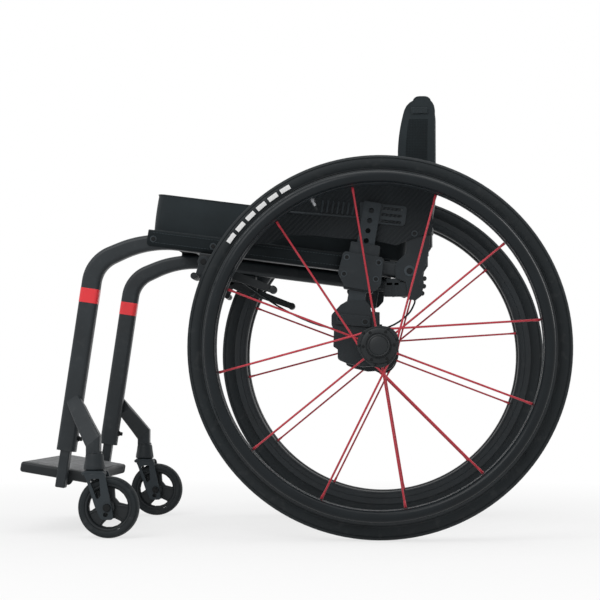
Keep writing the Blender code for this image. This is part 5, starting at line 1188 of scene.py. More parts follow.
class WHEELCHAIR_OT_stage(bpy.types.Operator):
    """Adds the camera, the lamps, the even light and the floor"""

    bl_idname = "wheelchair.stage"
    bl_label = "Stage"

    def execute(self, context):
        sizes = context.scene.wheelchair_stage
        context.scene.view_settings.view_transform = "Standard"
        self.add_camera(context)
        for name, place, size in LAMPS:
            self.add_lamp(context, name + "_lamp", Vector(place), size, getattr(sizes, name + "_power"))
        self.add_sky(context, sizes.sky)
        self.add_floor(context, sizes.floor_radius)
        return {"FINISHED"}

    def add_camera(self, context):
        ahead = Vector((-math.cos(CAMERA_YAW), -math.sin(CAMERA_YAW), 0))
        right = Vector((-math.sin(CAMERA_YAW), math.cos(CAMERA_YAW), 0))
        up = Vector((0, 0, 1))
        look = ahead * math.cos(CAMERA_PITCH) + up * math.sin(CAMERA_PITCH)
        over = up * math.cos(CAMERA_PITCH) - ahead * math.sin(CAMERA_PITCH)
        x = right * math.cos(CAMERA_ROLL) + over * math.sin(CAMERA_ROLL)
        y = over * math.cos(CAMERA_ROLL) - right * math.sin(CAMERA_ROLL)
        data = bpy.data.cameras.new("camera")
        data.sensor_width = CAMERA_SENSOR
        data.lens = CAMERA_LENS
        data.clip_start, data.clip_end = CAMERA_CLIP
        camera = bpy.data.objects.new("camera", data)
        turn = Matrix((x, y, -look)).transposed().to_4x4()
        camera.matrix_world = Matrix.Translation(CAMERA_PLACE) @ turn
        context.scene.collection.objects.link(camera)
        context.scene.camera = camera

    def add_lamp(self, context, name, place, size, power):
        data = bpy.data.lights.new(name, "AREA")
        data.shape = "DISK"
        data.size = size
        data.energy = power
        lamp = bpy.data.objects.new(name, data)
        lamp.location = place
        lamp.rotation_euler = (LAMP_AIM - place).to_track_quat("-Z", "Y").to_euler()
        context.scene.collection.objects.link(lamp)

    def add_sky(self, context, strength):
        world = bpy.data.worlds.new("studio")
        wires = cleared(world)
        both = ({"Color": WHITE, "Strength": strength}, {"Color": WHITE, "Strength": 1.0})
        grey, white = (wires.add("ShaderNodeBackground", one).outputs[0] for one in both)
        mixed = wires.add("ShaderNodeMixShader", {0: seen_rays(wires), 1: grey, 2: white}).outputs[0]
        wires.add("ShaderNodeOutputWorld", {"Surface": mixed})
        context.scene.world = world

    def add_floor(self, context, radius):
        shape = bmesh.new()
        bmesh.ops.create_circle(shape, cap_ends=True, radius=radius, segments=64)
        mesh = bpy.data.meshes.new("studio_floor")
        shape.to_mesh(mesh)
        shape.free()
        floor = bpy.data.objects.new("studio_floor", mesh)
        made = bpy.data.materials.new("studio floor")
        wires = cleared(made)
        place = wires.place()
        away = wires.add("ShaderNodeVectorMath", {0: place}, operation="LENGTH").outputs["Value"]
        far = wires.spread(away, FLOOR_WHITENESS, 1.0, *FLOOR_FADE)
        seen = wires.maths("MULTIPLY", seen_rays(wires), far)
        colour = tuple(context.scene.wheelchair_colours.floor)
        specks = wires.noise(place, 0.02)
        tone = wires.ramp(specks, (0.3, scaled(colour, 0.99)), (0.7, scaled(colour, 1.01)))
        matt = wires.add("ShaderNodeBsdfDiffuse", {"Color": tone}).outputs[0]
        white = wires.add("ShaderNodeEmission", {"Color": WHITE, "Strength": 1.0}).outputs[0]
        both = wires.add("ShaderNodeMixShader", {0: seen, 1: matt, 2: white}).outputs[0]
        wires.add("ShaderNodeOutputMaterial", {"Surface": both})
        mesh.materials.append(made)
        context.scene.collection.objects.link(floor)


def cleared(holder):
    """The wiring of a world or a material, with none of its first nodes left."""
    holder.use_nodes = True
    holder.node_tree.nodes.clear()
    return Wiring(holder.node_tree)


def seen_rays(wires):
    """1 for rays that come straight from the camera, or by way of gloss or glass."""
    rays = wires.add("ShaderNodeLightPath").outputs
    gloss = wires.maths("MAXIMUM", rays["Is Camera Ray"], rays["Is Glossy Ray"])
    return wires.maths("MAXIMUM", gloss, rays["Is Transmission Ray"])


def cable_points():
    """The points of the release cable, close together on one smooth line."""
    places = [at(*place) for place in CABLE_ROUTE]
    padded = [places[0], *places, places[-1]]
    points = []
    for before, here, on, after in zip(padded, padded[1:], padded[2:], padded[3:]):
        for step in range(CABLE_STEPS):
            t = step / CABLE_STEPS
            ease = (2 * before - 5 * here + 4 * on - after) * t**2
            ease += (3 * here - before - 3 * on + after) * t**3
            points.append(here + ((on - before) * t + ease) / 2)
    points.append(places[-1])
    return points


class WHEELCHAIR_OT_cable(bpy.types.Operator):
    """Adds the backrest's release cable, which hangs in a bow under the seat"""

    bl_idname = "wheelchair.cable"
    bl_label = "Release cable"

    def execute(self, context):
        points = cable_points()
        curve = bpy.data.curves.new("pull_cable", "CURVE")
        curve.dimensions = "3D"
        curve.bevel_depth = CABLE_RADIUS
        curve.bevel_resolution = 4
        curve.use_fill_caps = True
        line = curve.splines.new("POLY")
        line.points.add(len(points) - 1)
        for point, place in zip(line.points, points):
            point.co = (*place, 1)
        line.use_smooth = True
        curve.materials.append(finish("cable"))
        cable = bpy.data.objects.new("pull_cable", curve)
        context.scene.collection.objects.link(cable)
        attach(cable, "frame")
        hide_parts("release_cable")
        return {"FINISHED"}


class WHEELCHAIR_OT_tyres(bpy.types.Operator):
    """Adds the rear tyres, with plain dashes on their sides"""

    bl_idname = "wheelchair.tyres"
    bl_label = "Rear tyres"

    def execute(self, context):
        sizes = context.scene.wheelchair_wheels
        tyre = turned(mirrored(TYRE_HALF), WHEEL_CENTRE, sizes.steps)
        low, high = MARK_REACH - sizes.mark_tall / 2, MARK_REACH + sizes.mark_tall / 2
        reaches = (low, low, MARK_REACH, high, high)
        profile = list(zip(reaches, MARK_SECTION))
        marks = []
        for i in range(sizes.marks):
            start = MARK_FIRST + i * MARK_STEP
            marks.append(painted(turned(profile, WHEEL_CENTRE, steps=6, start=start, sweep=MARK_LONG), 1))
        finishes = ["rubber", "side marks"]
        shape = together(tyre, *marks)
        both_sides("wheel_tyre", shape, finishes, "wheel", "rear_tyre", even=False)
        return {"FINISHED"}


class WHEELCHAIR_OT_rims(bpy.types.Operator):
    """Adds the rear rims with their valves"""

    bl_idname = "wheelchair.rims"
    bl_label = "Rear rims"

    def execute(self, context):
        rim = turned(mirrored(RIM_HALF), WHEEL_CENTRE, context.scene.wheelchair_wheels.steps)
        root, collar, nut, cap, tip = (on_wheel(0, reach, VALVE_ANGLE) for reach in VALVE_REACHES)
        steel = [rod(VALVE_COLLAR, root, collar, sides=6), rod(VALVE_STEM, root, cap, sides=16)]
        steel.append(rod(VALVE_NUT, collar, nut, sides=6))
        cover = rod(VALVE_CAP[0], cap, tip, sides=12, end_radius=VALVE_CAP[1], edge=0.0005)
        shape = together(rim, *[painted(one, 1) for one in steel], painted(cover, 2))
        finishes = ["paint", "steel", "plastic"]
        both_sides("wheel_rim", shape, finishes, "wheel", "rear_rim", even=False)
        return {"FINISHED"}


class WHEELCHAIR_OT_hand_rims(bpy.types.Operator):
    """Adds the hand rims with the tabs that hold them"""

    bl_idname = "wheelchair.hand_rims"
    bl_label = "Hand rims"

    def execute(self, context):
        steps = context.scene.wheelchair_wheels.steps
        centre = WHEEL_CENTRE + Vector((HAND_RIM_OFFSET, 0, 0))
        section = [(HAND_RIM_RADIUS + x, y) for x, y, _ in circle(HAND_RIM_TUBE, 20)]
        shapes = [turned(section, centre, steps)]
        outer = HAND_RIM_OFFSET - HAND_RIM_TUBE / 2
        for i in range(HAND_RIM_TABS):
            angle = SPOKE_PHASE + math.pi / SPOKES + i * math.tau / HAND_RIM_TABS
            turn = Matrix.Rotation(angle, 3, "X")
            middle = on_wheel((TAB_ROOT + outer) / 2, HAND_RIM_RADIUS, angle)
            shapes.append(block((outer - TAB_ROOT, *TAB_SIZE), middle, turn, edge=0.0016))
            foot = on_wheel(TAB_ROOT + TAB_FOOT[0] / 2, HAND_RIM_RADIUS, angle)
            shapes.append(block(TAB_FOOT, foot, turn, edge=0.0006, segments=2))
        both_sides("push_ring", together(*shapes), ["anodised"], "wheel", "hand_rim", False)
        return {"FINISHED"}


class WHEELCHAIR_OT_hubs(bpy.types.Operator):
    """Adds the rear hubs and their spokes: half of them straight out, half of them crossing in pairs"""

    bl_idname = "wheelchair.hubs"
    bl_label = "Hubs and spokes"

    def execute(self, context):
        both_sides("wheel_hub", self.hub(), ["plastic", "dark steel"], "wheel", "rear_hub")
        spokes = self.spokes(context.scene.wheelchair_wheels.spoke_radius)
        both_sides("wheel_spokes", spokes, ["spoke", "dark steel"], "wheel", "rear_hub", False)
        return {"FINISHED"}

    def hub(self):
        body = turned(HUB_PROFILE, WHEEL_CENTRE, steps=72)
        outline = []
        for step in range(HUB_STEPS):
            angle = step * math.tau / HUB_STEPS
            lobe = math.cos(3 * (angle - SPOKE_PHASE - math.pi / 6))
            radius = HUB_FLANGE - HUB_LOBE + HUB_LOBE * lobe
            outline.append((-radius * math.cos(angle), AXLE_UP + radius * math.sin(angle), 0))
        middle = WHEEL + HUB_OUTER_PLACE
        flange = plate(outline, middle - HUB_FLANGE_THICK / 2, middle + HUB_FLANGE_THICK / 2, edge=0.0011)
        heads = []
        for i in range(HUB_SCREWS):
            place = on_wheel(HUB_FACE, HUB_SCREW_RADIUS, HUB_SCREW_PHASE + i * math.tau / HUB_SCREWS)
            heads.append(painted(screw_head(place, radius=0.0024, tall=0.0012), 1))
        return together(body, flange, *heads)

    def spokes(self, radius):
        shapes = []
        for i in range(SPOKES):
            angle = SPOKE_PHASE + i * math.tau / SPOKES
            end = on_wheel(0, SPOKE_END, angle)
            if i % 2:
                root = on_wheel(HUB_INNER_PLACE, HUB_INNER_FLANGE - SPOKE_ROOT, angle)
                knob = Vector((-SPOKE_KNOB, 0, 0))
            else:
                lean = SPOKE_CROSS if i % 4 == 0 else -SPOKE_CROSS
                root = on_wheel(HUB_OUTER_PLACE, HUB_FLANGE - SPOKE_ROOT, angle + lean)
                knob = Vector((SPOKE_KNOB, 0, 0))
            inwards = (root - end).normalized()
            shapes.append(rod(radius, root, end, sides=14))
            thicker, out = SPOKE_BUTT
            shapes.append(rod(radius * thicker, root, root - inwards * out, sides=14, end_radius=radius))
            head = rod(radius * KNOB_THICKER, root - knob, root + knob, sides=14, edge=0.0006)
            shapes.append(painted(head, 1))
            wide, narrow = NIPPLE
            foot = end + inwards * NIPPLE_LONG
            shapes.append(rod(wide, end, foot, sides=12, end_radius=narrow, edge=0.0004))
        return together(*shapes)


class WHEELCHAIR_OT_pins(bpy.types.Operator):
    """Adds the quick-release pins and the buttons that free them"""

    bl_idname = "wheelchair.pins"
    bl_label = "Pins and buttons"

    def execute(self, context):
        pin = turned(PIN_PROFILE, WHEEL_CENTRE, steps=48)
        both_sides("release_pin", pin, ["steel"], "wheel_pin", "axle_pin")
        button = turned(BUTTON_PROFILE, WHEEL_CENTRE, steps=64)
        both_sides("hub_button", button, ["plastic"], "button", "axle_button")
        return {"FINISHED"}


class WHEELCHAIR_OT_caster_wheels(bpy.types.Operator):
    """Adds the small front wheels: tyres and three-spoked cores"""

    bl_idname = "wheelchair.caster_wheels"
    bl_label = "Caster wheels"

    def execute(self, context):
        centre = at(CASTER, *CASTER_CENTRE)
        tyre = turned(mirrored(CASTER_TYRE_HALF), centre, steps=96)
        body = "caster_wheel"
        both_sides("caster_tread", tyre, ["caster rubber"], body, "caster_tyre", False)
        both_sides("caster_core", self.core(centre), ["plastic"], body, "caster_wheel")
        return {"FINISHED"}

    def core(self, centre):
        rim = turned(mirrored(CASTER_RIM_HALF), centre, steps=72)
        hub = turned(mirrored(CASTER_HUB_HALF), centre, steps=40)
        windows, ribs = [], []
        for i in range(CASTER_WINDOWS):
            aim = CASTER_AIM + i * math.tau / CASTER_WINDOWS
            corners = []
            for reach, turn, corner in CASTER_WINDOW:
                corners.append((*self.spot(reach, aim + math.radians(turn)), corner))
            windows.append(corners)
            for share in (-1, 1):
                for side in (-1, 1):
                    ends = []
                    for reach, turn in CASTER_RIB:
                        spot = self.spot(reach, aim + share * math.radians(turn))
                        ends.append(at(CASTER + side * CASTER_WEB, *spot))
                    ribs.append(rod(CASTER_RIB_RADIUS, *ends, sides=8))
        disc = moved(circle(CASTER_DISC, 48), *CASTER_CENTRE)
        web = plate(disc, CASTER - CASTER_WEB, CASTER + CASTER_WEB, edge=0.0006, holes=windows, steps=3)
        return together(rim, hub, web, *ribs)

    def spot(self, reach, angle):
        """(ahead, up) of a point of the wheel."""
        return CASTER_CENTRE[0] + reach * math.cos(angle), CASTER_CENTRE[1] + reach * math.sin(angle)


class WHEELCHAIR_OT_forks(bpy.types.Operator):
    """Adds the caster forks with their axle bolts"""

    bl_idname = "wheelchair.forks"
    bl_label = "Caster forks"

    def execute(self, context):
        outline = moved(FORK_OUTLINE, *CASTER_CENTRE)
        cuts = (FORK_WINDOW, circle(BOLT_HOLE, 20), circle(SPARE_RADIUS, 20, *SPARE_HOLE))
        holes = [moved(cut, *CASTER_CENTRE) for cut in cuts]
        shapes = [turned(CROWN_PROFILE, at(CASTER, CASTER_AHEAD, 0), steps=48, axis="Z")]
        shapes.append(block(CROWN_BAR, at(CASTER, CASTER_AHEAD, CROWN_BAR_UP), edge=0.0027))
        heads = []
        for side in (-1, 1):
            inner = CASTER + side * FORK_INSIDE
            outer = inner + side * FORK_WALL
            shapes.append(plate(outline, inner, outer, edge=0.0010, holes=holes))
            heads.append(screw_head(at(outer, *CASTER_CENTRE), *BOLT_HEAD, Vector((side, 0, 0))))
        body = "caster_fork"
        both_sides("fork", together(*shapes), ["pale casting"], body, "caster_fork")
        reach = FORK_INSIDE + FORK_WALL
        bolt = cross_rod(BOLT_RADIUS, *CASTER_CENTRE, CASTER - reach, CASTER + reach, sides=20)
        both_sides("caster_bolt", together(bolt, *heads), ["dark steel"], body, "caster_axle")
        for side, _ in SIDES:
            stem = frame["nodes"][f"caster_stem_{side}"]
            stem.data.materials.clear()
            stem.data.materials.append(finish("steel"))
        return {"FINISHED"}


class WHEELCHAIR_OT_caster_arms(bpy.types.Operator):
    """Adds the arms and housings that hold the casters"""

    bl_idname = "wheelchair.caster_arms"
    bl_label = "Caster arms"

    def execute(self, context):
        both_sides("caster_arm_tube", self.arm(), ["paint"], "frame", "caster_arm")
        centre = at(CASTER, CASTER_AHEAD, 0)
        bearing = turned(HOUSING_PROFILE, centre, steps=56, axis="Z")
        seal = turned(SEAL_PROFILE, centre, steps=40, axis="Z")
        both_sides(
            "swivel_housing", together(bearing, seal), ["casting"], "frame", "caster_housing"
        )
        return {"FINISHED"}

    def arm(self):
        """A straight box tube from the leg's side out and down to the neck, mitred onto it."""
        start, end = at(TUBE_OUTER - 0.001, *ARM_TOP), at(CASTER, *ARM_MITRE)
        slope = Vector((0, end.y - start.y, end.z - start.z)).normalized()
        square = Vector((0, -slope.z, slope.y))
        mitre = Vector((0, NECK_DEEP + 0.001, ARM_MITRE_RISE))
        wide = Vector((NECK_WIDE, 0, 0))
        first, last = [], []
        for point in rectangle(1.0, 1.0, 0.16):
            first.append(start + square * ARM_DEEP * point.x - slope * ARM_ON_LEG * point.y)
            last.append(end + mitre * point.x + wide * point.y)
        rings = []
        for step in range(ARM_STEPS + 1):
            share = step / ARM_STEPS
            bow = Vector((ARM_BOW * math.sin(math.pi * share), 0, 0))
            rings.append([near.lerp(far, share) + bow for near, far in zip(first, last)])
        foot = [Vector((point.x, point.y, NECK_FOOT)) for point in last]
        return together(lofted(rings), lofted([last, foot]))


class WHEELCHAIR_OT_side_tubes(bpy.types.Operator):
    """Adds the two bent side tubes, with their clamp screws and red bands"""

    bl_idname = "wheelchair.side_tubes"
    bl_label = "Side tubes"

    def execute(self, context):
        both_sides("side_tube", self.tube(), ["paint", "dark steel"], "frame", "frame_tube")
        both_sides("leg_band", self.band(), ["band"], "frame")
        return {"FINISHED"}

    def tube(self):
        rear, knee = on_seat(TUBE_REAR, 0), on_seat(KNEE_AHEAD, 0)
        line = [rear, *bend(rear, knee, NOSE, KNEE_RADIUS, BEND_STEPS)]
        line += [*bend(knee, NOSE, LEG_END, NOSE_RADIUS, BEND_STEPS), LEG_END]
        section = [tuple(point) for point in rectangle(TUBE_WIDE, TUBE_DEEP, TUBE_CORNER)]
        run = NOSE[0] - KNEE_AHEAD
        shares = [min(1.0, max(0.0, (place[0] - KNEE_AHEAD) / run)) for place in line[:-1]]
        fuller = [LEG_FULLER * share for share in (*shares, 1.0)]
        tube = swept([at(SIDE, *place) for place in line], section, fuller=fuller)
        backs = (-TUBE_DEEP / 2 + 0.001, -TUBE_DEEP / 2 - 0.0040, -TUBE_DEEP / 2 - 0.0030)
        root, tip, rim = (at(SIDE, *on_leg(back, CLAMP_SCREW_UP)) for back in backs)
        shank = rod(CLAMP_SHANK, root, tip, sides=16)
        washer = rod(CLAMP_WASHER[0], root, rim, sides=24, end_radius=CLAMP_WASHER[1])
        head = screw_head(tip, radius=0.0037, tall=0.0035, outward=(tip - root).normalized())
        return together(tube, *[painted(one, 1) for one in (shank, washer, head)])

    def band(self):
        wide, deep, corner = TUBE_WIDE + BAND_OVER, TUBE_DEEP + BAND_OVER, TUBE_CORNER + BAND_OVER / 2
        section = [Vector((point.x, point.y, 0)) for point in rectangle(wide, deep, corner)]
        rings = []
        for up in (BAND_FOOT, BAND_FOOT + 0.0003, BAND_TOP - 0.0003, BAND_TOP):
            share = 0.98 if up in (BAND_FOOT, BAND_TOP) else 1.0
            centre = at(SIDE, *on_leg(0, up))
            ring = [point * share - Vector((0, LEG_FULLER * (point.y < 0), 0)) for point in section]
            rings.append([centre + LEG_TURN @ point for point in ring])
        return lofted(rings)


class WHEELCHAIR_OT_cross_tubes(bpy.types.Operator):
    """Adds the tubes that join the two sides"""

    bl_idname = "wheelchair.cross_tubes"
    bl_label = "Cross tubes"

    def execute(self, context):
        centre = at(0, *on_seat(CROSS_TUBE_AHEAD, 0))
        start, following = cable_points()[:2]
        end = start + (following - start).normalized() * CABLE_LUG
        root = Vector((start.x, centre.y, centre.z))
        root += (start - root).normalized() * (CROSS_TUBE_RADIUS - 0.001)
        tube = self.welded(CROSS_TUBE_RADIUS, centre, TUBE_INNER - GAP, 40)
        tube = together(tube, rod(0.0036, root, end, sides=20, end_radius=0.0030, edge=0.0006))
        finished("cross_tube", tube, ["paint"], "frame", ["seat_cross_tube"])
        tube = turned(AXLE_TUBE_PROFILE, at(0, 0, AXLE_UP), steps=48)
        finished("axle_sleeve", tube, ["paint"], "frame", ["axle_tube"])
        tube = self.welded(HINGE_BAR_RADIUS, at(0, *PIVOT), HINGE_BAR_HALF, 36)
        finished("hinge_rod", tube, ["paint"], "backrest", ["back_hinge_bar"])
        return {"FINISHED"}

    def welded(self, radius, centre, half, sides):
        """A tube along X with a weld at each end."""
        end, weld = Vector((half, 0, 0)), Vector((half - 0.003, 0, 0))
        beads = [bead(radius, centre + side * weld) for side in (-1, 1)]
        return together(rod(radius, centre - end, centre + end, sides), *beads)


class WHEELCHAIR_OT_axle_posts(bpy.types.Operator):
    """Adds the posts, collars, pinch plates and castings that carry the axle"""

    bl_idname = "wheelchair.axle_posts"
    bl_label = "Axle posts"

    def execute(self, context):
        both_sides("height_post", self.post(), ["pale casting"], "frame", "axle_post")
        outline = bar_on_post(COLLAR_WIDE, COLLAR_FOOT, COLLAR_TOP, 0.0022)
        collar = plate(outline, TUBE_OUTER + GAP, COLLAR_OUTER, edge=0.0012)
        both_sides("collar", collar, ["casting"], "frame", "post_collar")
        finishes = ["casting", "dark steel", "screw ring"]
        both_sides("pinch_plate", self.pinch_plate(), finishes, "frame", "clamp_plate")
        both_sides("axle_casting", self.casting(), finishes, "frame", "axle_clamp")
        return {"FINISHED"}

    def post(self):
        outline = bar_on_post(POST_WIDE, POST_FOOT, POST_TOP, 0.0015)
        holes = []
        for i in range(POST_HOLES):
            along = POST_TOP - POST_HOLE_TOP - i * POST_HOLE_PITCH
            holes.append(moved(circle(POST_HOLE_RADIUS, 24), *on_post(0, along)))
        return plate(outline, POST_INNER, POST_OUTER, edge=0.0009, holes=holes)

    def pinch_plate(self):
        outline = [(*on_post(forward, along), radius) for forward, along, radius in PLATE_OUTLINE]
        shapes = [plate(outline, COLLAR_OUTER + GAP, PLATE_OUTER, edge=0.0010)]
        for place in (on_post(*spot) for spot in PLATE_SCREWS):
            shapes.append(painted(turned(ring(*PLATE_RING), at(PLATE_OUTER - 0.0002, *place), steps=32), 2))
            shapes.append(painted(screw_head(at(PLATE_OUTER - 0.0004, *place), 0.0036, 0.0008), 1))
        return together(*shapes)

    def casting(self):
        face = AXLE_CLAMP_OUTER + AXLE_CLAMP_CAP
        hole = moved(circle(AXLE_TUBE_RADIUS + GAP, 48), 0, AXLE_UP)
        outline, cap = moved(AXLE_CLAMP_OUTLINE, 0, AXLE_UP), moved(AXLE_CAP_OUTLINE, 0, AXLE_UP)
        shapes = [plate(outline, AXLE_CLAMP_INNER, AXLE_CLAMP_OUTER, edge=0.0016, holes=[hole])]
        shapes.append(plate(cap, AXLE_CLAMP_OUTER - 0.001, face, edge=0.0011))
        for ahead, up in AXLE_CLAMP_BOLTS:
            place = (ahead, AXLE_UP + up)
            shapes.append(painted(screw_head(at(face - 0.0018, *place), radius=0.0042, tall=0.0022), 1))
            shapes.append(painted(turned(ring(*BOLT_RING), at(face - 0.0001, *place), steps=28), 2))
        shapes.append(turned(AXLE_RING, at(AXLE_CLAMP_OUTER - 0.0002, 0, AXLE_UP), steps=48))
        return together(*shapes)


class WHEELCHAIR_OT_brackets(bpy.types.Operator):
    """Adds the plates that the backrest folds on, with their angle adjusters"""

    bl_idname = "wheelchair.brackets"
    bl_label = "Backrest brackets"

    def execute(self, context):
        finishes = ["casting", "dark steel", "knurled", "screw ring"]
        left = together(*self.plain(BRACKET_OUTLINE), *self.adjuster())
        finished("recline_bracket_left", left, finishes, "frame", ["back_bracket_left"])
        short = [corner for corner in BRACKET_OUTLINE if corner[1] > BRACKET_SHORT]
        right = flipped(together(*self.plain(short)))
        finished("recline_bracket_right", right, finishes, "frame", ["back_bracket_right"])
        return {"FINISHED"}

    def plain(self, outline):
        """The plate with its pivot."""
        shapes = [plate(moved(outline, *PIVOT), BRACKET_INNER, BRACKET_OUTER, edge=0.0010)]
        shapes.append(painted(turned(PIVOT_WASHER, at(BRACKET_OUTER - 0.0002, *PIVOT), steps=40), 3))
        shapes.append(painted(screw_head(at(BRACKET_OUTER, *PIVOT), radius=0.0056, tall=0.0019), 1))
        shapes.append(painted(cross_rod(0.005, *PIVOT, PIVOT_PIN_INNER, BRACKET_OUTER, sides=24), 1))
        return shapes

    def adjuster(self):
        """The angle adjuster that the release cable pulls, with its knurled studs."""
        end = cable_points()[-1]
        foot = end.z - CABLE_LUG
        wide, deep, tall = ADJUSTER
        across = BRACKET_INNER + 0.001 - wide / 2
        ahead, up = PIVOT[0] - ADJUSTER_BEHIND + deep / 2, foot + tall / 2
        shapes = [block(ADJUSTER, at(across, ahead, up), edge=0.0014)]
        rim = (wide + ADJUSTER_RIM, 0.004, tall + ADJUSTER_RIM)
        for shift in (-ADJUSTER_RIM_AHEAD, ADJUSTER_RIM_AHEAD):
            shapes.append(block(rim, at(across, ahead + shift, up), edge=0.0006))
        shapes.append(block((wide, *SPACER_SIZE), at(across, *SPACER_PLACE), edge=0.0014))
        for forward, over in KNURLS:
            place = (PIVOT[0] + forward, PIVOT[1] + over)
            stud = cross_rod(KNURL_RADIUS, *place, KNURL_INNER, BRACKET_OUTER - GAP, sides=20, edge=0.0007)
            shapes.append(painted(stud, 2))
        mouth = Vector((end.x, end.y, foot - CABLE_LUG))
        shapes.append(painted(rod(0.0030, mouth, end, sides=20, end_radius=0.00375, edge=0.0005), 1))
        return shapes


class WHEELCHAIR_OT_guards(bpy.types.Operator):
    """Adds the side guards, with their ribs and plain vent"""

    bl_idname = "wheelchair.guards"
    bl_label = "Side guards"

    def execute(self, context):
        start = math.asin((GUARD_EDGE[-1][1] - AXLE_UP) / GUARD_REACH)
        end = math.acos(GUARD_REAR / GUARD_REACH)
        turns = [start + (end - start) * i / GUARD_STEPS for i in range(GUARD_STEPS + 1)]
        top = [(GUARD_REACH * math.cos(turn), AXLE_UP + GUARD_REACH * math.sin(turn), 0) for turn in turns]
        slots = self.slots()
        shapes = [plate([*GUARD_EDGE, *top], GUARD_INNER, GUARD_OUTER, edge=0.0008, holes=slots)]
        rim = [at(GUARD_OUTER - 0.0006, *place[:2]) for place in top]
        shapes.append(swept(rim, oval(*GUARD_RIM, 10)))
        vent = plate(VENT_OUTLINE, GUARD_OUTER - 0.0005, GUARD_OUTER + 0.0022, edge=0.0011, holes=slots)
        shapes.extend(painted(one, 2) for one in (vent, *self.ribs()))
        screw = at(GUARD_OUTER - 0.0002, *GUARD_SCREW)
        shapes.append(painted(turned(ring(*GUARD_RING), screw, steps=32), 3))
        shapes.append(painted(screw_head(screw, radius=0.0036, tall=0.0015), 1))
        finishes = ["guard", "dark steel", "raised guard", "screw ring"]
        both_sides("guard", together(*shapes), finishes, "frame", "side_guard")
        return {"FINISHED"}

    def slots(self):
        """The outlines of the vent's slots."""
        slots = []
        for i in range(VENT_SLOTS):
            rear = SLOT_REAR + SLOT_STEP * i
            corners = []
            for ahead, side in ((SLOT_FRONT, 1), (rear, 1), (rear, -1), (SLOT_FRONT, -1)):
                up = SLOT_UP - SLOT_PITCH * i + side * SLOT_HALF + SLOT_SLOPE * (ahead - SLOT_FRONT)
                corners.append((ahead, up, 0.0022))
            slots.append(corners)
        return slots

    def ribs(self):
        """Upright ribs under the guard's top, and the long ledge below them."""
        shapes = []
        for i in range(RIB_COUNT):
            ahead = RIB_FIRST + RIB_PITCH * i
            foot = self.over_ledge(ahead, RIB_OVER)
            reach = math.sqrt((GUARD_REACH - RIB_EDGE) ** 2 - ahead**2) + AXLE_UP
            top = min(reach, foot + RIB_TALL)
            low = at(GUARD_OUTER + 0.0001, ahead, foot)
            high = at(GUARD_OUTER + 0.0001, ahead - RIB_LEAN * (top - foot), top)
            turn = Matrix.Rotation(-math.atan(RIB_LEAN), 3, "X")
            shapes.append(block((*RIB_SIZE, (high - low).length), (low + high) / 2, turn, 0.0012, 2))
        ledge = [at(GUARD_OUTER, ahead, self.over_ledge(ahead, 0.0)) for ahead in LEDGE_AHEAD]
        shapes.append(swept(ledge, oval(*LEDGE_SIZE, 8)))
        return shapes

    def over_ledge(self, ahead, over):
        """The height of a point over the ledge's middle line."""
        return LEDGE_UP + over + LEDGE_SLOPE * (ahead - LEDGE_START)


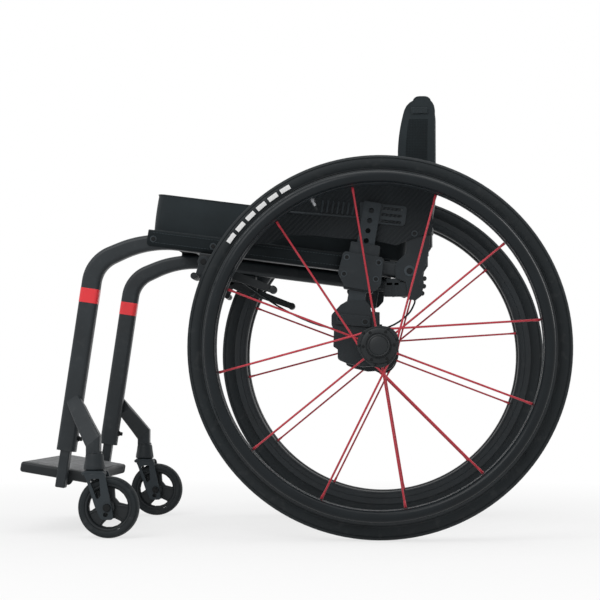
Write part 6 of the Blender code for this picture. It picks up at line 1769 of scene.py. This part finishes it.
class WHEELCHAIR_OT_wheel_locks(bpy.types.Operator):
    """Adds the wheel locks: clamp, lever and the arm with its bar"""

    bl_idname = "wheelchair.wheel_locks"
    bl_label = "Wheel locks"

    def execute(self, context):
        finishes = ["plastic", "dark steel"]
        both_sides("brake_clamp", self.clamp(), finishes, "frame", "lock_base")
        both_sides("brake_lever", self.lever(), finishes, "lock_lever", "lock_lever")
        finishes = ["casting", "dark steel", "knurled"]
        both_sides("brake_arm", self.arm(), finishes, "lock_shoe", "lock_shoe")
        return {"FINISHED"}

    def clamp(self):
        wall_inner = LOCK_BASE_OUTER - 2 * LOCK_ARM_THICK
        inner, outer = LOCK_BASE_INNER, wall_inner + LOCK_ARM_THICK
        under = -TUBE_DEEP / 2 - GAP
        centre = at((outer + inner) / 2, *on_seat(LOCK_MIDDLE[0], under - LOCK_BASE_TALL / 2))
        base = block((outer - inner, LOCK_BASE_LONG, LOCK_BASE_TALL), centre, SEAT_TURN, edge=0.0022)
        wall = plate(moved(LOCK_WALL_OUTLINE, *LOCK_MIDDLE), wall_inner, LOCK_BASE_OUTER, edge=0.0012)
        pins = []
        for face, place, tall in LOCK_PINS:
            end = face + LOCK_ARM_THICK
            pins.append(screw_head(at(end - GAP, *place), radius=0.0052, tall=tall))
            pins.append(cross_rod(LOCK_PIN_RADIUS, *place, wall_inner, end, sides=20))
        spacer_end = LOCK_SHOE_INNER - GAP
        pins.append(cross_rod(LOCK_SPACER, *LOCK_ARM_PIVOT, wall_inner, spacer_end, sides=24, edge=0.0006))
        down = SEAT_TURN @ Vector((0, 0, -1))
        for side in (-1, 1):
            place = on_seat(LOCK_MIDDLE[0] + side * LOCK_SCREW_AHEAD, under - LOCK_BASE_TALL)
            pins.append(screw_head(at(outer - 0.008, *place), radius=0.004, tall=0.0012, outward=down))
        return together(base, wall, *[painted(pin, 1) for pin in pins])

    def lever(self):
        knob = turned(LOCK_KNOB_PROFILE, at(LOCK_LEVER_INNER + GAP, *LOCK_KNOB), steps=40)
        return together(*self.link(LOCK_LEVER_PIVOT, LOCK_KNOB, LOCK_LEVER_WIDTHS, LOCK_LEVER_INNER), knob)

    def arm(self):
        tip = WHEEL + LOCK_BAR_PAST
        core = cross_rod(LOCK_BAR_CORE, *LOCK_BAR, LOCK_SHOE_INNER, tip - 0.0005, sides=28, edge=0.0006)
        sleeve = cross_rod(LOCK_BAR_RADIUS, *LOCK_BAR, tip - LOCK_SLEEVE, tip, sides=28, edge=0.0008)
        bar = self.link(LOCK_ARM_PIVOT, LOCK_BAR, LOCK_ARM_WIDTHS, LOCK_SHOE_INNER)
        return together(*bar, painted(core, 1), painted(sleeve, 2))

    def link(self, first, last, widths, inner):
        """A round boss, and the straight link from it that tapers between two widths."""
        outer = inner + LOCK_ARM_THICK
        boss = cross_rod(LOCK_BOSS_RADIUS, *first, inner, outer, sides=36, edge=0.0009)
        start, end = Vector(first), Vector(last)
        heading = (end - start).normalized()
        square = Vector((heading.y, -heading.x))
        near, far = (square * wide / 2 for wide in widths)
        corners = [(*spot, 0) for spot in (start + near, end + far, end - far, start - near)]
        return boss, plate(corners, inner + 0.0005, outer - 0.0005, edge=0.0009)


class WHEELCHAIR_OT_footrest(bpy.types.Operator):
    """Adds the footrest: two sliding tubes and the plate between them"""

    bl_idname = "wheelchair.footrest"
    bl_label = "Footrest"

    def execute(self, context):
        length = (FOOT_TUBE_TOP - FOOT_TUBE_FOOT) / math.cos(LEG_TILT)
        middle = at(SIDE, *on_leg(FOOT_TUBE_AHEAD, (FOOT_TUBE_TOP + FOOT_TUBE_FOOT) / 2))
        tube = block((FOOT_TUBE_WIDE, FOOT_TUBE_DEEP, length), middle, LEG_TURN, edge=0.0022)
        both_sides("foot_tube", tube, ["paint"], "footrest", "footrest_tube")
        finishes = ["plastic", "grip", "dark steel"]
        board = together(*self.board(), *self.hangers())
        finished("foot_board", board, finishes, "footplate", ["footplate"])
        return {"FINISHED"}

    def board(self):
        """The plate, with a gritty mat and its studs on top and ribs beneath."""
        long = (FOOTPLATE_DEEP - FOOTPLATE_THICK * math.sin(FOOTPLATE_TILT)) / math.cos(FOOTPLATE_TILT)
        wide, top = 2 * FOOTPLATE_HALF, FOOTPLATE_THICK / 2
        shapes = [self.on_board((wide, long, FOOTPLATE_THICK), (0, 0, 0), 0.0045, 4)]
        mat = self.on_board((wide - MAT_MARGIN[0], long - MAT_MARGIN[1], MAT_THICK), (0, 0, top), 0.0005, 2)
        shapes.append(painted(mat, 1))
        for row in range(STUD_ROWS):
            for column in range(STUD_COLUMNS):
                across = (column - (STUD_COLUMNS - 1) / 2 + STUD_SHIFT * (-1) ** row) * STUD_PITCH[0]
                place = (across, (row - (STUD_ROWS - 1) / 2) * STUD_PITCH[1], top + 0.0002)
                shapes.append(painted(self.on_board(STUD_SIZE, place, 0.0005, 1), 1))
        for across in BOARD_RIBS:
            shapes.append(self.on_board((0.006, long - 0.02, 0.002), (across, 0, -top - 0.0004), 0.0006, 2))
        return shapes

    def on_board(self, size, place, edge, segments):
        """A block square to the plate, at a place from its middle."""
        centre = at(0, FOOTPLATE_FRONT - FOOTPLATE_DEEP / 2, FOOTPLATE_UP)
        return block(size, centre + FOOTPLATE_TURN @ Vector(place), FOOTPLATE_TURN, edge, segments)

    def hangers(self):
        """The clamps that the plate turns on."""
        shapes = []
        pivot = on_leg(FOOT_TUBE_AHEAD, FOOT_PIVOT_UP)
        for side in (-1, 1):
            outer = side * (FOOTPLATE_HALF - GAP)
            inner = outer - side * HANGER_THICK
            shapes.append(plate(moved(HANGER_OUTLINE, *pivot), inner, outer, edge=0.0009))
            shapes.append(painted(cross_rod(0.004, *pivot, outer - side * 0.0025, side * SIDE, 20), 2))
            head = screw_head(at(inner, *pivot), radius=0.0052, tall=0.0016, outward=Vector((-side, 0, 0)))
            shapes.append(painted(head, 2))
        return shapes


def stitches(points, length, space, radius=0.00035):
    """A row of stitches that lie along a line of points."""
    shapes = []
    carried = 0.0
    for here, on in zip(points, points[1:]):
        run = (on - here).length
        heading = (on - here).normalized()
        while carried + length < run:
            start = here + heading * carried
            shapes.append(rod(radius, start, start + heading * length, sides=6))
            carried += length + space
        carried = max(0.0, carried - run)
    return shapes


class WHEELCHAIR_OT_sling(bpy.types.Operator):
    """Adds the sling: cloth stretched over the side tubes, with a screwed and stitched flap each side"""

    bl_idname = "wheelchair.sling"
    bl_label = "Seat sling"

    def execute(self, context):
        shape, fabric = self.cloth(), ["sling fabric"]
        cloth = finished("sling_cloth", shape, fabric, "frame", ["seat_sling"], even=False)
        wall = cloth.modifiers.new("thickness", "SOLIDIFY")
        wall.thickness = SLING_THICK * 0.8
        wall.offset = 0
        screws, rows = [], []
        outside = TUBE_OUTER + GAP + SLING_THICK
        for side in (-1, 1):
            for ahead in SLING_SCREWS:
                place = at(side * (outside - 0.0003), *on_seat(ahead, 0))
                washer = turned(ring(*SLING_RING), Vector(), steps=28)
                placed(washer, Matrix.Translation(place) @ Matrix.Diagonal((side, 1, 1, 1)))
                bmesh.ops.recalc_face_normals(washer, faces=washer.faces)
                screws.append(painted(washer, 1))
                screws.append(screw_head(place, radius=0.0040, tall=0.0024, outward=Vector((side, 0, 0))))
            for above in FLAP_SEAMS:
                ends = [on_seat(ahead, above) for ahead in (SLING_FLAP_REAR + 0.003, SLING_FRONT - 0.004)]
                rows.append([at(side * outside, *end) for end in ends])
        for behind in FRONT_SEAMS:
            place = on_seat(SLING_FRONT - behind, SLING_UNDER + SLING_THICK + 0.0001)
            rows.append([at(across, *place) for across in (-TUBE_INNER, TUBE_INNER)])
        length = context.scene.wheelchair_seat.stitch
        thread = together(*[one for row in rows for one in stitches(row, length, STITCH_SPACE)])
        finishes = ["dark steel", "screw ring"]
        screwed = finished("sling_screws", together(*screws), finishes, "frame")
        sewn = finished("sling_stitches", thread, ["thread"], "frame", even=False)
        return {"FINISHED"}

    def cloth(self):
        """Half a section across the seat, run along it and mirrored: flat, over the tube and down."""
        shape = bmesh.new()
        level = SLING_UNDER + SLING_THICK / 2
        outside = TUBE_OUTER + GAP + SLING_THICK / 2
        foot = SLING_UNDER + SLING_THICK - SLING_FLAP
        half = [(TUBE_INNER * i / 8, level - 0.0002) for i in range(9)]
        half += [(outside + over, level + up) for over, up in SLING_BEND]
        half += [(outside, (level + foot) / 2 - 0.004), (outside, foot)]
        section = [(-x, y) for x, y in reversed(half[1:])] + half
        stations = [SLING_REAR + (SLING_FLAP_REAR - SLING_REAR) * i / 6 for i in range(7)]
        front = SLING_FRONT - SLING_CORNER
        stations += [SLING_FLAP_REAR + (front - SLING_FLAP_REAR) * i / 20 for i in range(1, 21)]
        stations += [front + SLING_CORNER * math.sin(math.radians(15 * i)) for i in range(1, 7)]
        edges = ring_of(shape, [at(x, *on_seat(stations[0], y)) for x, y in section], closed=False)
        for here, on in zip(stations, stations[1:]):
            made = bmesh.ops.extrude_edge_only(shape, edges=edges)["geom"]
            verts = points_of(made)
            edges = [item for item in made if isinstance(item, bmesh.types.BMEdge) and item.is_boundary]
            edges = [edge for edge in edges if edge.verts[0] in verts and edge.verts[1] in verts]
            place = at(0, *on_seat(on, 0))
            bmesh.ops.translate(shape, verts=verts, vec=place - at(0, *on_seat(here, 0)))
            before, after = (self.corner_rise(station - front) for station in (here, on))
            for vert in verts:
                under = (SEAT_TURN.transposed() @ (vert.co - place)).z
                if abs(vert.co.x) > outside - 0.001 and under < foot + before + 0.0001:
                    vert.co += SEAT_TURN @ Vector((0, 0, after - before))
        middles = [(face, face.calc_center_median()) for face in shape.faces]
        limit = AXLE_BACK - SLING_FLAP_REAR
        narrow = [face for face, middle in middles if middle.y > limit and abs(middle.x) > outside - 0.004]
        bmesh.ops.delete(shape, geom=narrow, context="FACES")
        shape.normal_update()
        flat = [face for face in shape.faces if abs(face.calc_center_median().x) < TUBE_INNER]
        if sum(face.normal.z for face in flat) < 0:
            bmesh.ops.reverse_faces(shape, faces=shape.faces)
        return shape

    def corner_rise(self, past):
        """How far the flap's lower edge has risen into its round front corner."""
        return SLING_CORNER - math.sqrt(SLING_CORNER**2 - min(max(past, 0.0), SLING_CORNER) ** 2)


def soft_cage(counts, form, on_seam):
    """A padded block's cage, evenly divided, with each point moved by a form and its seams kept sharp."""
    shape = bmesh.new()
    bmesh.ops.create_cube(shape, size=2)
    for axis, count in enumerate(counts):
        along = [line for line in shape.edges if abs((line.verts[0].co - line.verts[1].co)[axis]) > 1.5]
        bmesh.ops.subdivide_edges(shape, edges=along, cuts=count - 1, use_grid_fill=True)
    places = {}
    for vert in shape.verts:
        places[vert] = vert.co.copy()
        vert.co = form(vert.co.copy())
    crease = shape.edges.layers.float.new("crease_edge")
    for line in shape.edges:
        if all(on_seam(places[vert]) for vert in line.verts):
            line[crease] = 1.0
    shape.verts.index_update()
    return shape, {vert.index: place for vert, place in places.items()}


def pulled(x, y, half_x, half_y, radius):
    """A point of a rectangle moved so that the rectangle's corners are round."""
    over = Vector((abs(x) - half_x + radius, abs(y) - half_y + radius))
    if min(over) <= 0:
        return x, y
    share = max(over) / over.length
    near = Vector((half_x - radius, half_y - radius)) + over * share
    return math.copysign(near.x, x), math.copysign(near.y, y)


def puffed(piece, cap, held, pressure=4.0):
    """Blows a padded piece up as cloth: no point goes further than a cap, and the held ones stay."""
    if cap <= 0:
        return
    scene = bpy.context.scene
    before = [vert.co.copy() for vert in piece.data.vertices]
    group = piece.vertex_groups.new(name="held")
    group.add(held, 1.0, "REPLACE")
    cloth = piece.modifiers.new("puff", "CLOTH")
    cloth.settings.quality = 4
    cloth.settings.mass = 0.3
    cloth.settings.tension_stiffness = 20
    cloth.settings.compression_stiffness = 10
    cloth.settings.bending_stiffness = 0.6
    cloth.settings.use_pressure = True
    cloth.settings.uniform_pressure_force = pressure
    cloth.settings.effector_weights.gravity = 0
    cloth.settings.vertex_group_mass = "held"
    for number in range(1, 21):
        scene.frame_set(number)
    settled = piece.evaluated_get(bpy.context.evaluated_depsgraph_get()).data
    after = [vert.co.copy() for vert in settled.vertices]
    piece.modifiers.remove(cloth)
    for vert, start, end in zip(piece.data.vertices, before, after):
        step = end - start
        if step.length > cap:
            step *= cap / step.length
        vert.co = start + step
    scene.frame_set(1)
    piece.data.update()


def loop_points(piece, places, chosen, angle_of):
    """The points of a piece's chosen cage places, in order round a middle."""
    picked = [index for index, place in places.items() if chosen(place)]
    picked.sort(key=lambda index: angle_of(places[index]))
    return [piece.data.vertices[index].co.copy() for index in picked]


def smooth_piece(piece):
    soft = piece.modifiers.new("smooth", "SUBSURF")
    soft.levels = soft.render_levels = 1


def piped(points, radius, level=Vector((1, 0, 0))):
    """Piping along a seam that runs all the way round."""
    return swept(points, oval(radius, radius, 8), closed=True, level=level)


class WHEELCHAIR_OT_cushion(bpy.types.Operator):
    """Adds the seat cushion: a crowned pad with piped seams"""

    bl_idname = "wheelchair.cushion"
    bl_label = "Seat cushion"

    def execute(self, context):
        sizes = context.scene.wheelchair_seat
        long = (CUSHION_FRONT - CUSHION_REAR) / math.cos(SEAT_SLOPE)
        inset = sizes.puff * PUFF_SHARE
        half = Vector((CUSHION_HALF_WIDE - inset, long / 2 - inset, CUSHION_THICK / 2 - inset / 2))
        ahead = (CUSHION_FRONT + CUSHION_REAR) / 2
        middle = on_seat(ahead, CUSHION_UNDER + CUSHION_THICK / 2)
        where = Matrix.Translation(at(0, *middle)) @ SEAT_TURN.to_4x4()

        def form(place):
            x, y = pulled(place.x * half.x, place.y * half.y, half.x, half.y, CUSHION_CORNER)
            crown = CUSHION_CROWN * (1 - place.x**2) * (1 - place.y**2) * max(0, place.z)
            waist = 1 + CUSHION_WAIST * (1 - place.z**2)
            return where @ Vector((x * waist, y * waist, place.z * half.z + crown))

        shape, places = soft_cage((36, 40, 6), form, self.on_seam)
        pad = finished("cushion_pad", shape, ["fabric"], "frame", ["seat_cushion"], even=False)
        held = [i for i, place in places.items() if place.z < -AT_EDGE or self.at_side(place)]
        puffed(pad, sizes.puff, held)
        piping = []
        for level in (-1, 1):
            seam = loop_points(
                pad,
                places,
                lambda place: place.z * level > AT_EDGE and self.at_side(place),
                lambda place: math.atan2(place.y * half.y, place.x * half.x),
            )
            inwards = SEAT_TURN @ Vector((0, 0, -level * 0.0006))
            piping.append(piped([point + inwards for point in seam], sizes.piping, Vector((0, 0, 1))))
        cords = finished("cushion_piping", together(*piping), ["piping"], "frame", even=False)
        smooth_piece(pad)
        for soft in (pad, cords):
            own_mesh(soft)
        return {"FINISHED"}

    def at_side(self, place):
        return max(abs(place.x), abs(place.y)) > AT_EDGE

    def on_seam(self, place):
        return abs(place.z) > AT_EDGE and self.at_side(place)


class WHEELCHAIR_OT_backrest(bpy.types.Operator):
    """Adds the padded back with its piping, its side loops and its two canes"""

    bl_idname = "wheelchair.backrest"
    bl_label = "Backrest"

    def execute(self, context):
        sizes = context.scene.wheelchair_seat
        inset = sizes.puff * PUFF_SHARE
        half = BACK_HALF - Vector((inset, inset, inset))
        centre = at(0, *BACK_MIDDLE)

        def form(place):
            y, z = pulled(place.y * half.y, place.z * half.z, half.y, half.z, BACK_CORNER)
            front = (1 - place.y) / 2
            inwards = BACK_HOLLOW * (1 - place.x**2) + BACK_TAPER * place.z**2
            return centre + Vector((place.x * half.x, y + front * inwards, z))

        shape, places = soft_cage((42, 10, 26), form, self.on_seam)
        for face in shape.faces:
            if all(self.on_mesh(places[vert.index]) for vert in face.verts):
                face.material_index = 1
        body, slot = "backrest", "fabric_black"
        finishes = ["fabric", "mesh fabric"]
        pad = finished("back_pad", shape, finishes, body, ["back_upholstery"], even=False)
        puffed(pad, sizes.puff, [i for i, place in places.items() if self.on_seam(place)])
        extras = []
        for side in (-1, 1):
            seam = loop_points(
                pad,
                places,
                lambda place: place.x * side > AT_EDGE and self.on_seam(place),
                lambda place: math.atan2(place.z * half.z, place.y * half.y),
            )
            extras.append(piped([point - Vector((side * 0.0005, 0, 0)) for point in seam], sizes.piping))
        cords = finished("back_piping", together(*extras), ["piping"], body, even=False)
        smooth_piece(pad)
        for soft in (pad, cords, *self.add_loops()):
            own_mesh(soft)
        both_sides("cane", self.cane(), ["paint", "plastic"], body, "back_cane")
        return {"FINISHED"}

    def on_seam(self, place):
        return abs(place.x) > AT_EDGE and max(abs(place.y), abs(place.z)) > AT_EDGE

    def on_mesh(self, place):
        """Whether a place of the cage is on the mesh of the pad's two ends."""
        return abs(place.x) > AT_EDGE and abs(place.y) < MESH_REACH and place.z < MESH_TOP

    def add_loops(self):
        """A webbing loop sewn on each side near the top."""
        ahead, up = LOOP_PLACE
        place, turn = at(BACK_HALF.x + 0.0006, ahead, up), Matrix.Rotation(LOOP_TURN, 3, "X")
        shapes = [block(LOOP_SIZE, place, turn, edge=0.0007, segments=2)]
        for ahead in LOOP_SEAMS:
            for over in (-LOOP_STITCH_SPACE, 0.0, LOOP_STITCH_SPACE):
                start = at(BACK_HALF.x + 0.0015, ahead, up + over)
                shapes.append(painted(rod(0.0004, start, start + LOOP_STITCH, sides=6), 1))
        finishes = ["piping", "thread"]
        return both_sides("back_loop", together(*shapes), finishes, "backrest")

    def cane(self):
        lower, upper = at(SIDE, CANE_AHEAD, CANE_FOOT), at(SIDE, CANE_AHEAD, CANE_TOP)
        inner, outer = FOOT_SPAN
        shapes = [rod(CANE_RADIUS, lower, upper, sides=36, edge=0.0012)]
        shapes.append(plate(moved(FOOT_OUTLINE, *PIVOT), inner + 0.003, outer - 0.003, edge=0.0014))
        shapes.append(cross_rod(FOOT_BOSS_RADIUS, *PIVOT, inner, outer, sides=40, edge=0.0010))
        low, high = (lower + Vector((0, 0, over)) for over in CANE_COLLAR)
        shapes.append(painted(rod(CANE_RADIUS + 0.0014, low, high, sides=36, edge=0.0008), 1))
        return together(*shapes)


OPERATORS = (
    WHEELCHAIR_OT_stage,
    WHEELCHAIR_OT_cable,
    WHEELCHAIR_OT_side_tubes,
    WHEELCHAIR_OT_cross_tubes,
    WHEELCHAIR_OT_axle_posts,
    WHEELCHAIR_OT_tyres,
    WHEELCHAIR_OT_rims,
    WHEELCHAIR_OT_hand_rims,
    WHEELCHAIR_OT_hubs,
    WHEELCHAIR_OT_pins,
    WHEELCHAIR_OT_caster_wheels,
    WHEELCHAIR_OT_forks,
    WHEELCHAIR_OT_caster_arms,
    WHEELCHAIR_OT_brackets,
    WHEELCHAIR_OT_guards,
    WHEELCHAIR_OT_wheel_locks,
    WHEELCHAIR_OT_footrest,
    WHEELCHAIR_OT_sling,
    WHEELCHAIR_OT_cushion,
    WHEELCHAIR_OT_backrest,
)


class WHEELCHAIR_PT_build(bpy.types.Panel):
    """Lists the steps that build the chair"""

    bl_idname = "WHEELCHAIR_PT_build"
    bl_label = "Active wheelchair"
    bl_space_type = "VIEW_3D"
    bl_region_type = "UI"
    bl_category = "Wheelchair"

    def draw(self, context):
        for group in GROUPS:
            holder = getattr(context.scene, group)
            box = self.layout.box()
            for name in holder.__annotations__:
                box.prop(holder, name)
        for operator in OPERATORS:
            self.layout.operator(operator.bl_idname)


GROUPS = {
    "wheelchair_wheels": WheelSizes,
    "wheelchair_seat": SeatSizes,
    "wheelchair_colours": Colours,
    "wheelchair_stage": StageSizes,
}


def register():
    for one in (*GROUPS.values(), *OPERATORS, WHEELCHAIR_PT_build):
        bpy.utils.register_class(one)
    for name, group in GROUPS.items():
        setattr(bpy.types.Scene, name, PointerProperty(type=group))


def unregister():
    for name in GROUPS:
        delattr(bpy.types.Scene, name)
    for one in reversed((*GROUPS.values(), *OPERATORS, WHEELCHAIR_PT_build)):
        bpy.utils.unregister_class(one)


def main():
    """Builds every piece in order."""
    register()
    for operator in OPERATORS:
        group, name = operator.bl_idname.split(".")
        getattr(getattr(bpy.ops, group), name)()


if __name__ == "__main__":
    main()
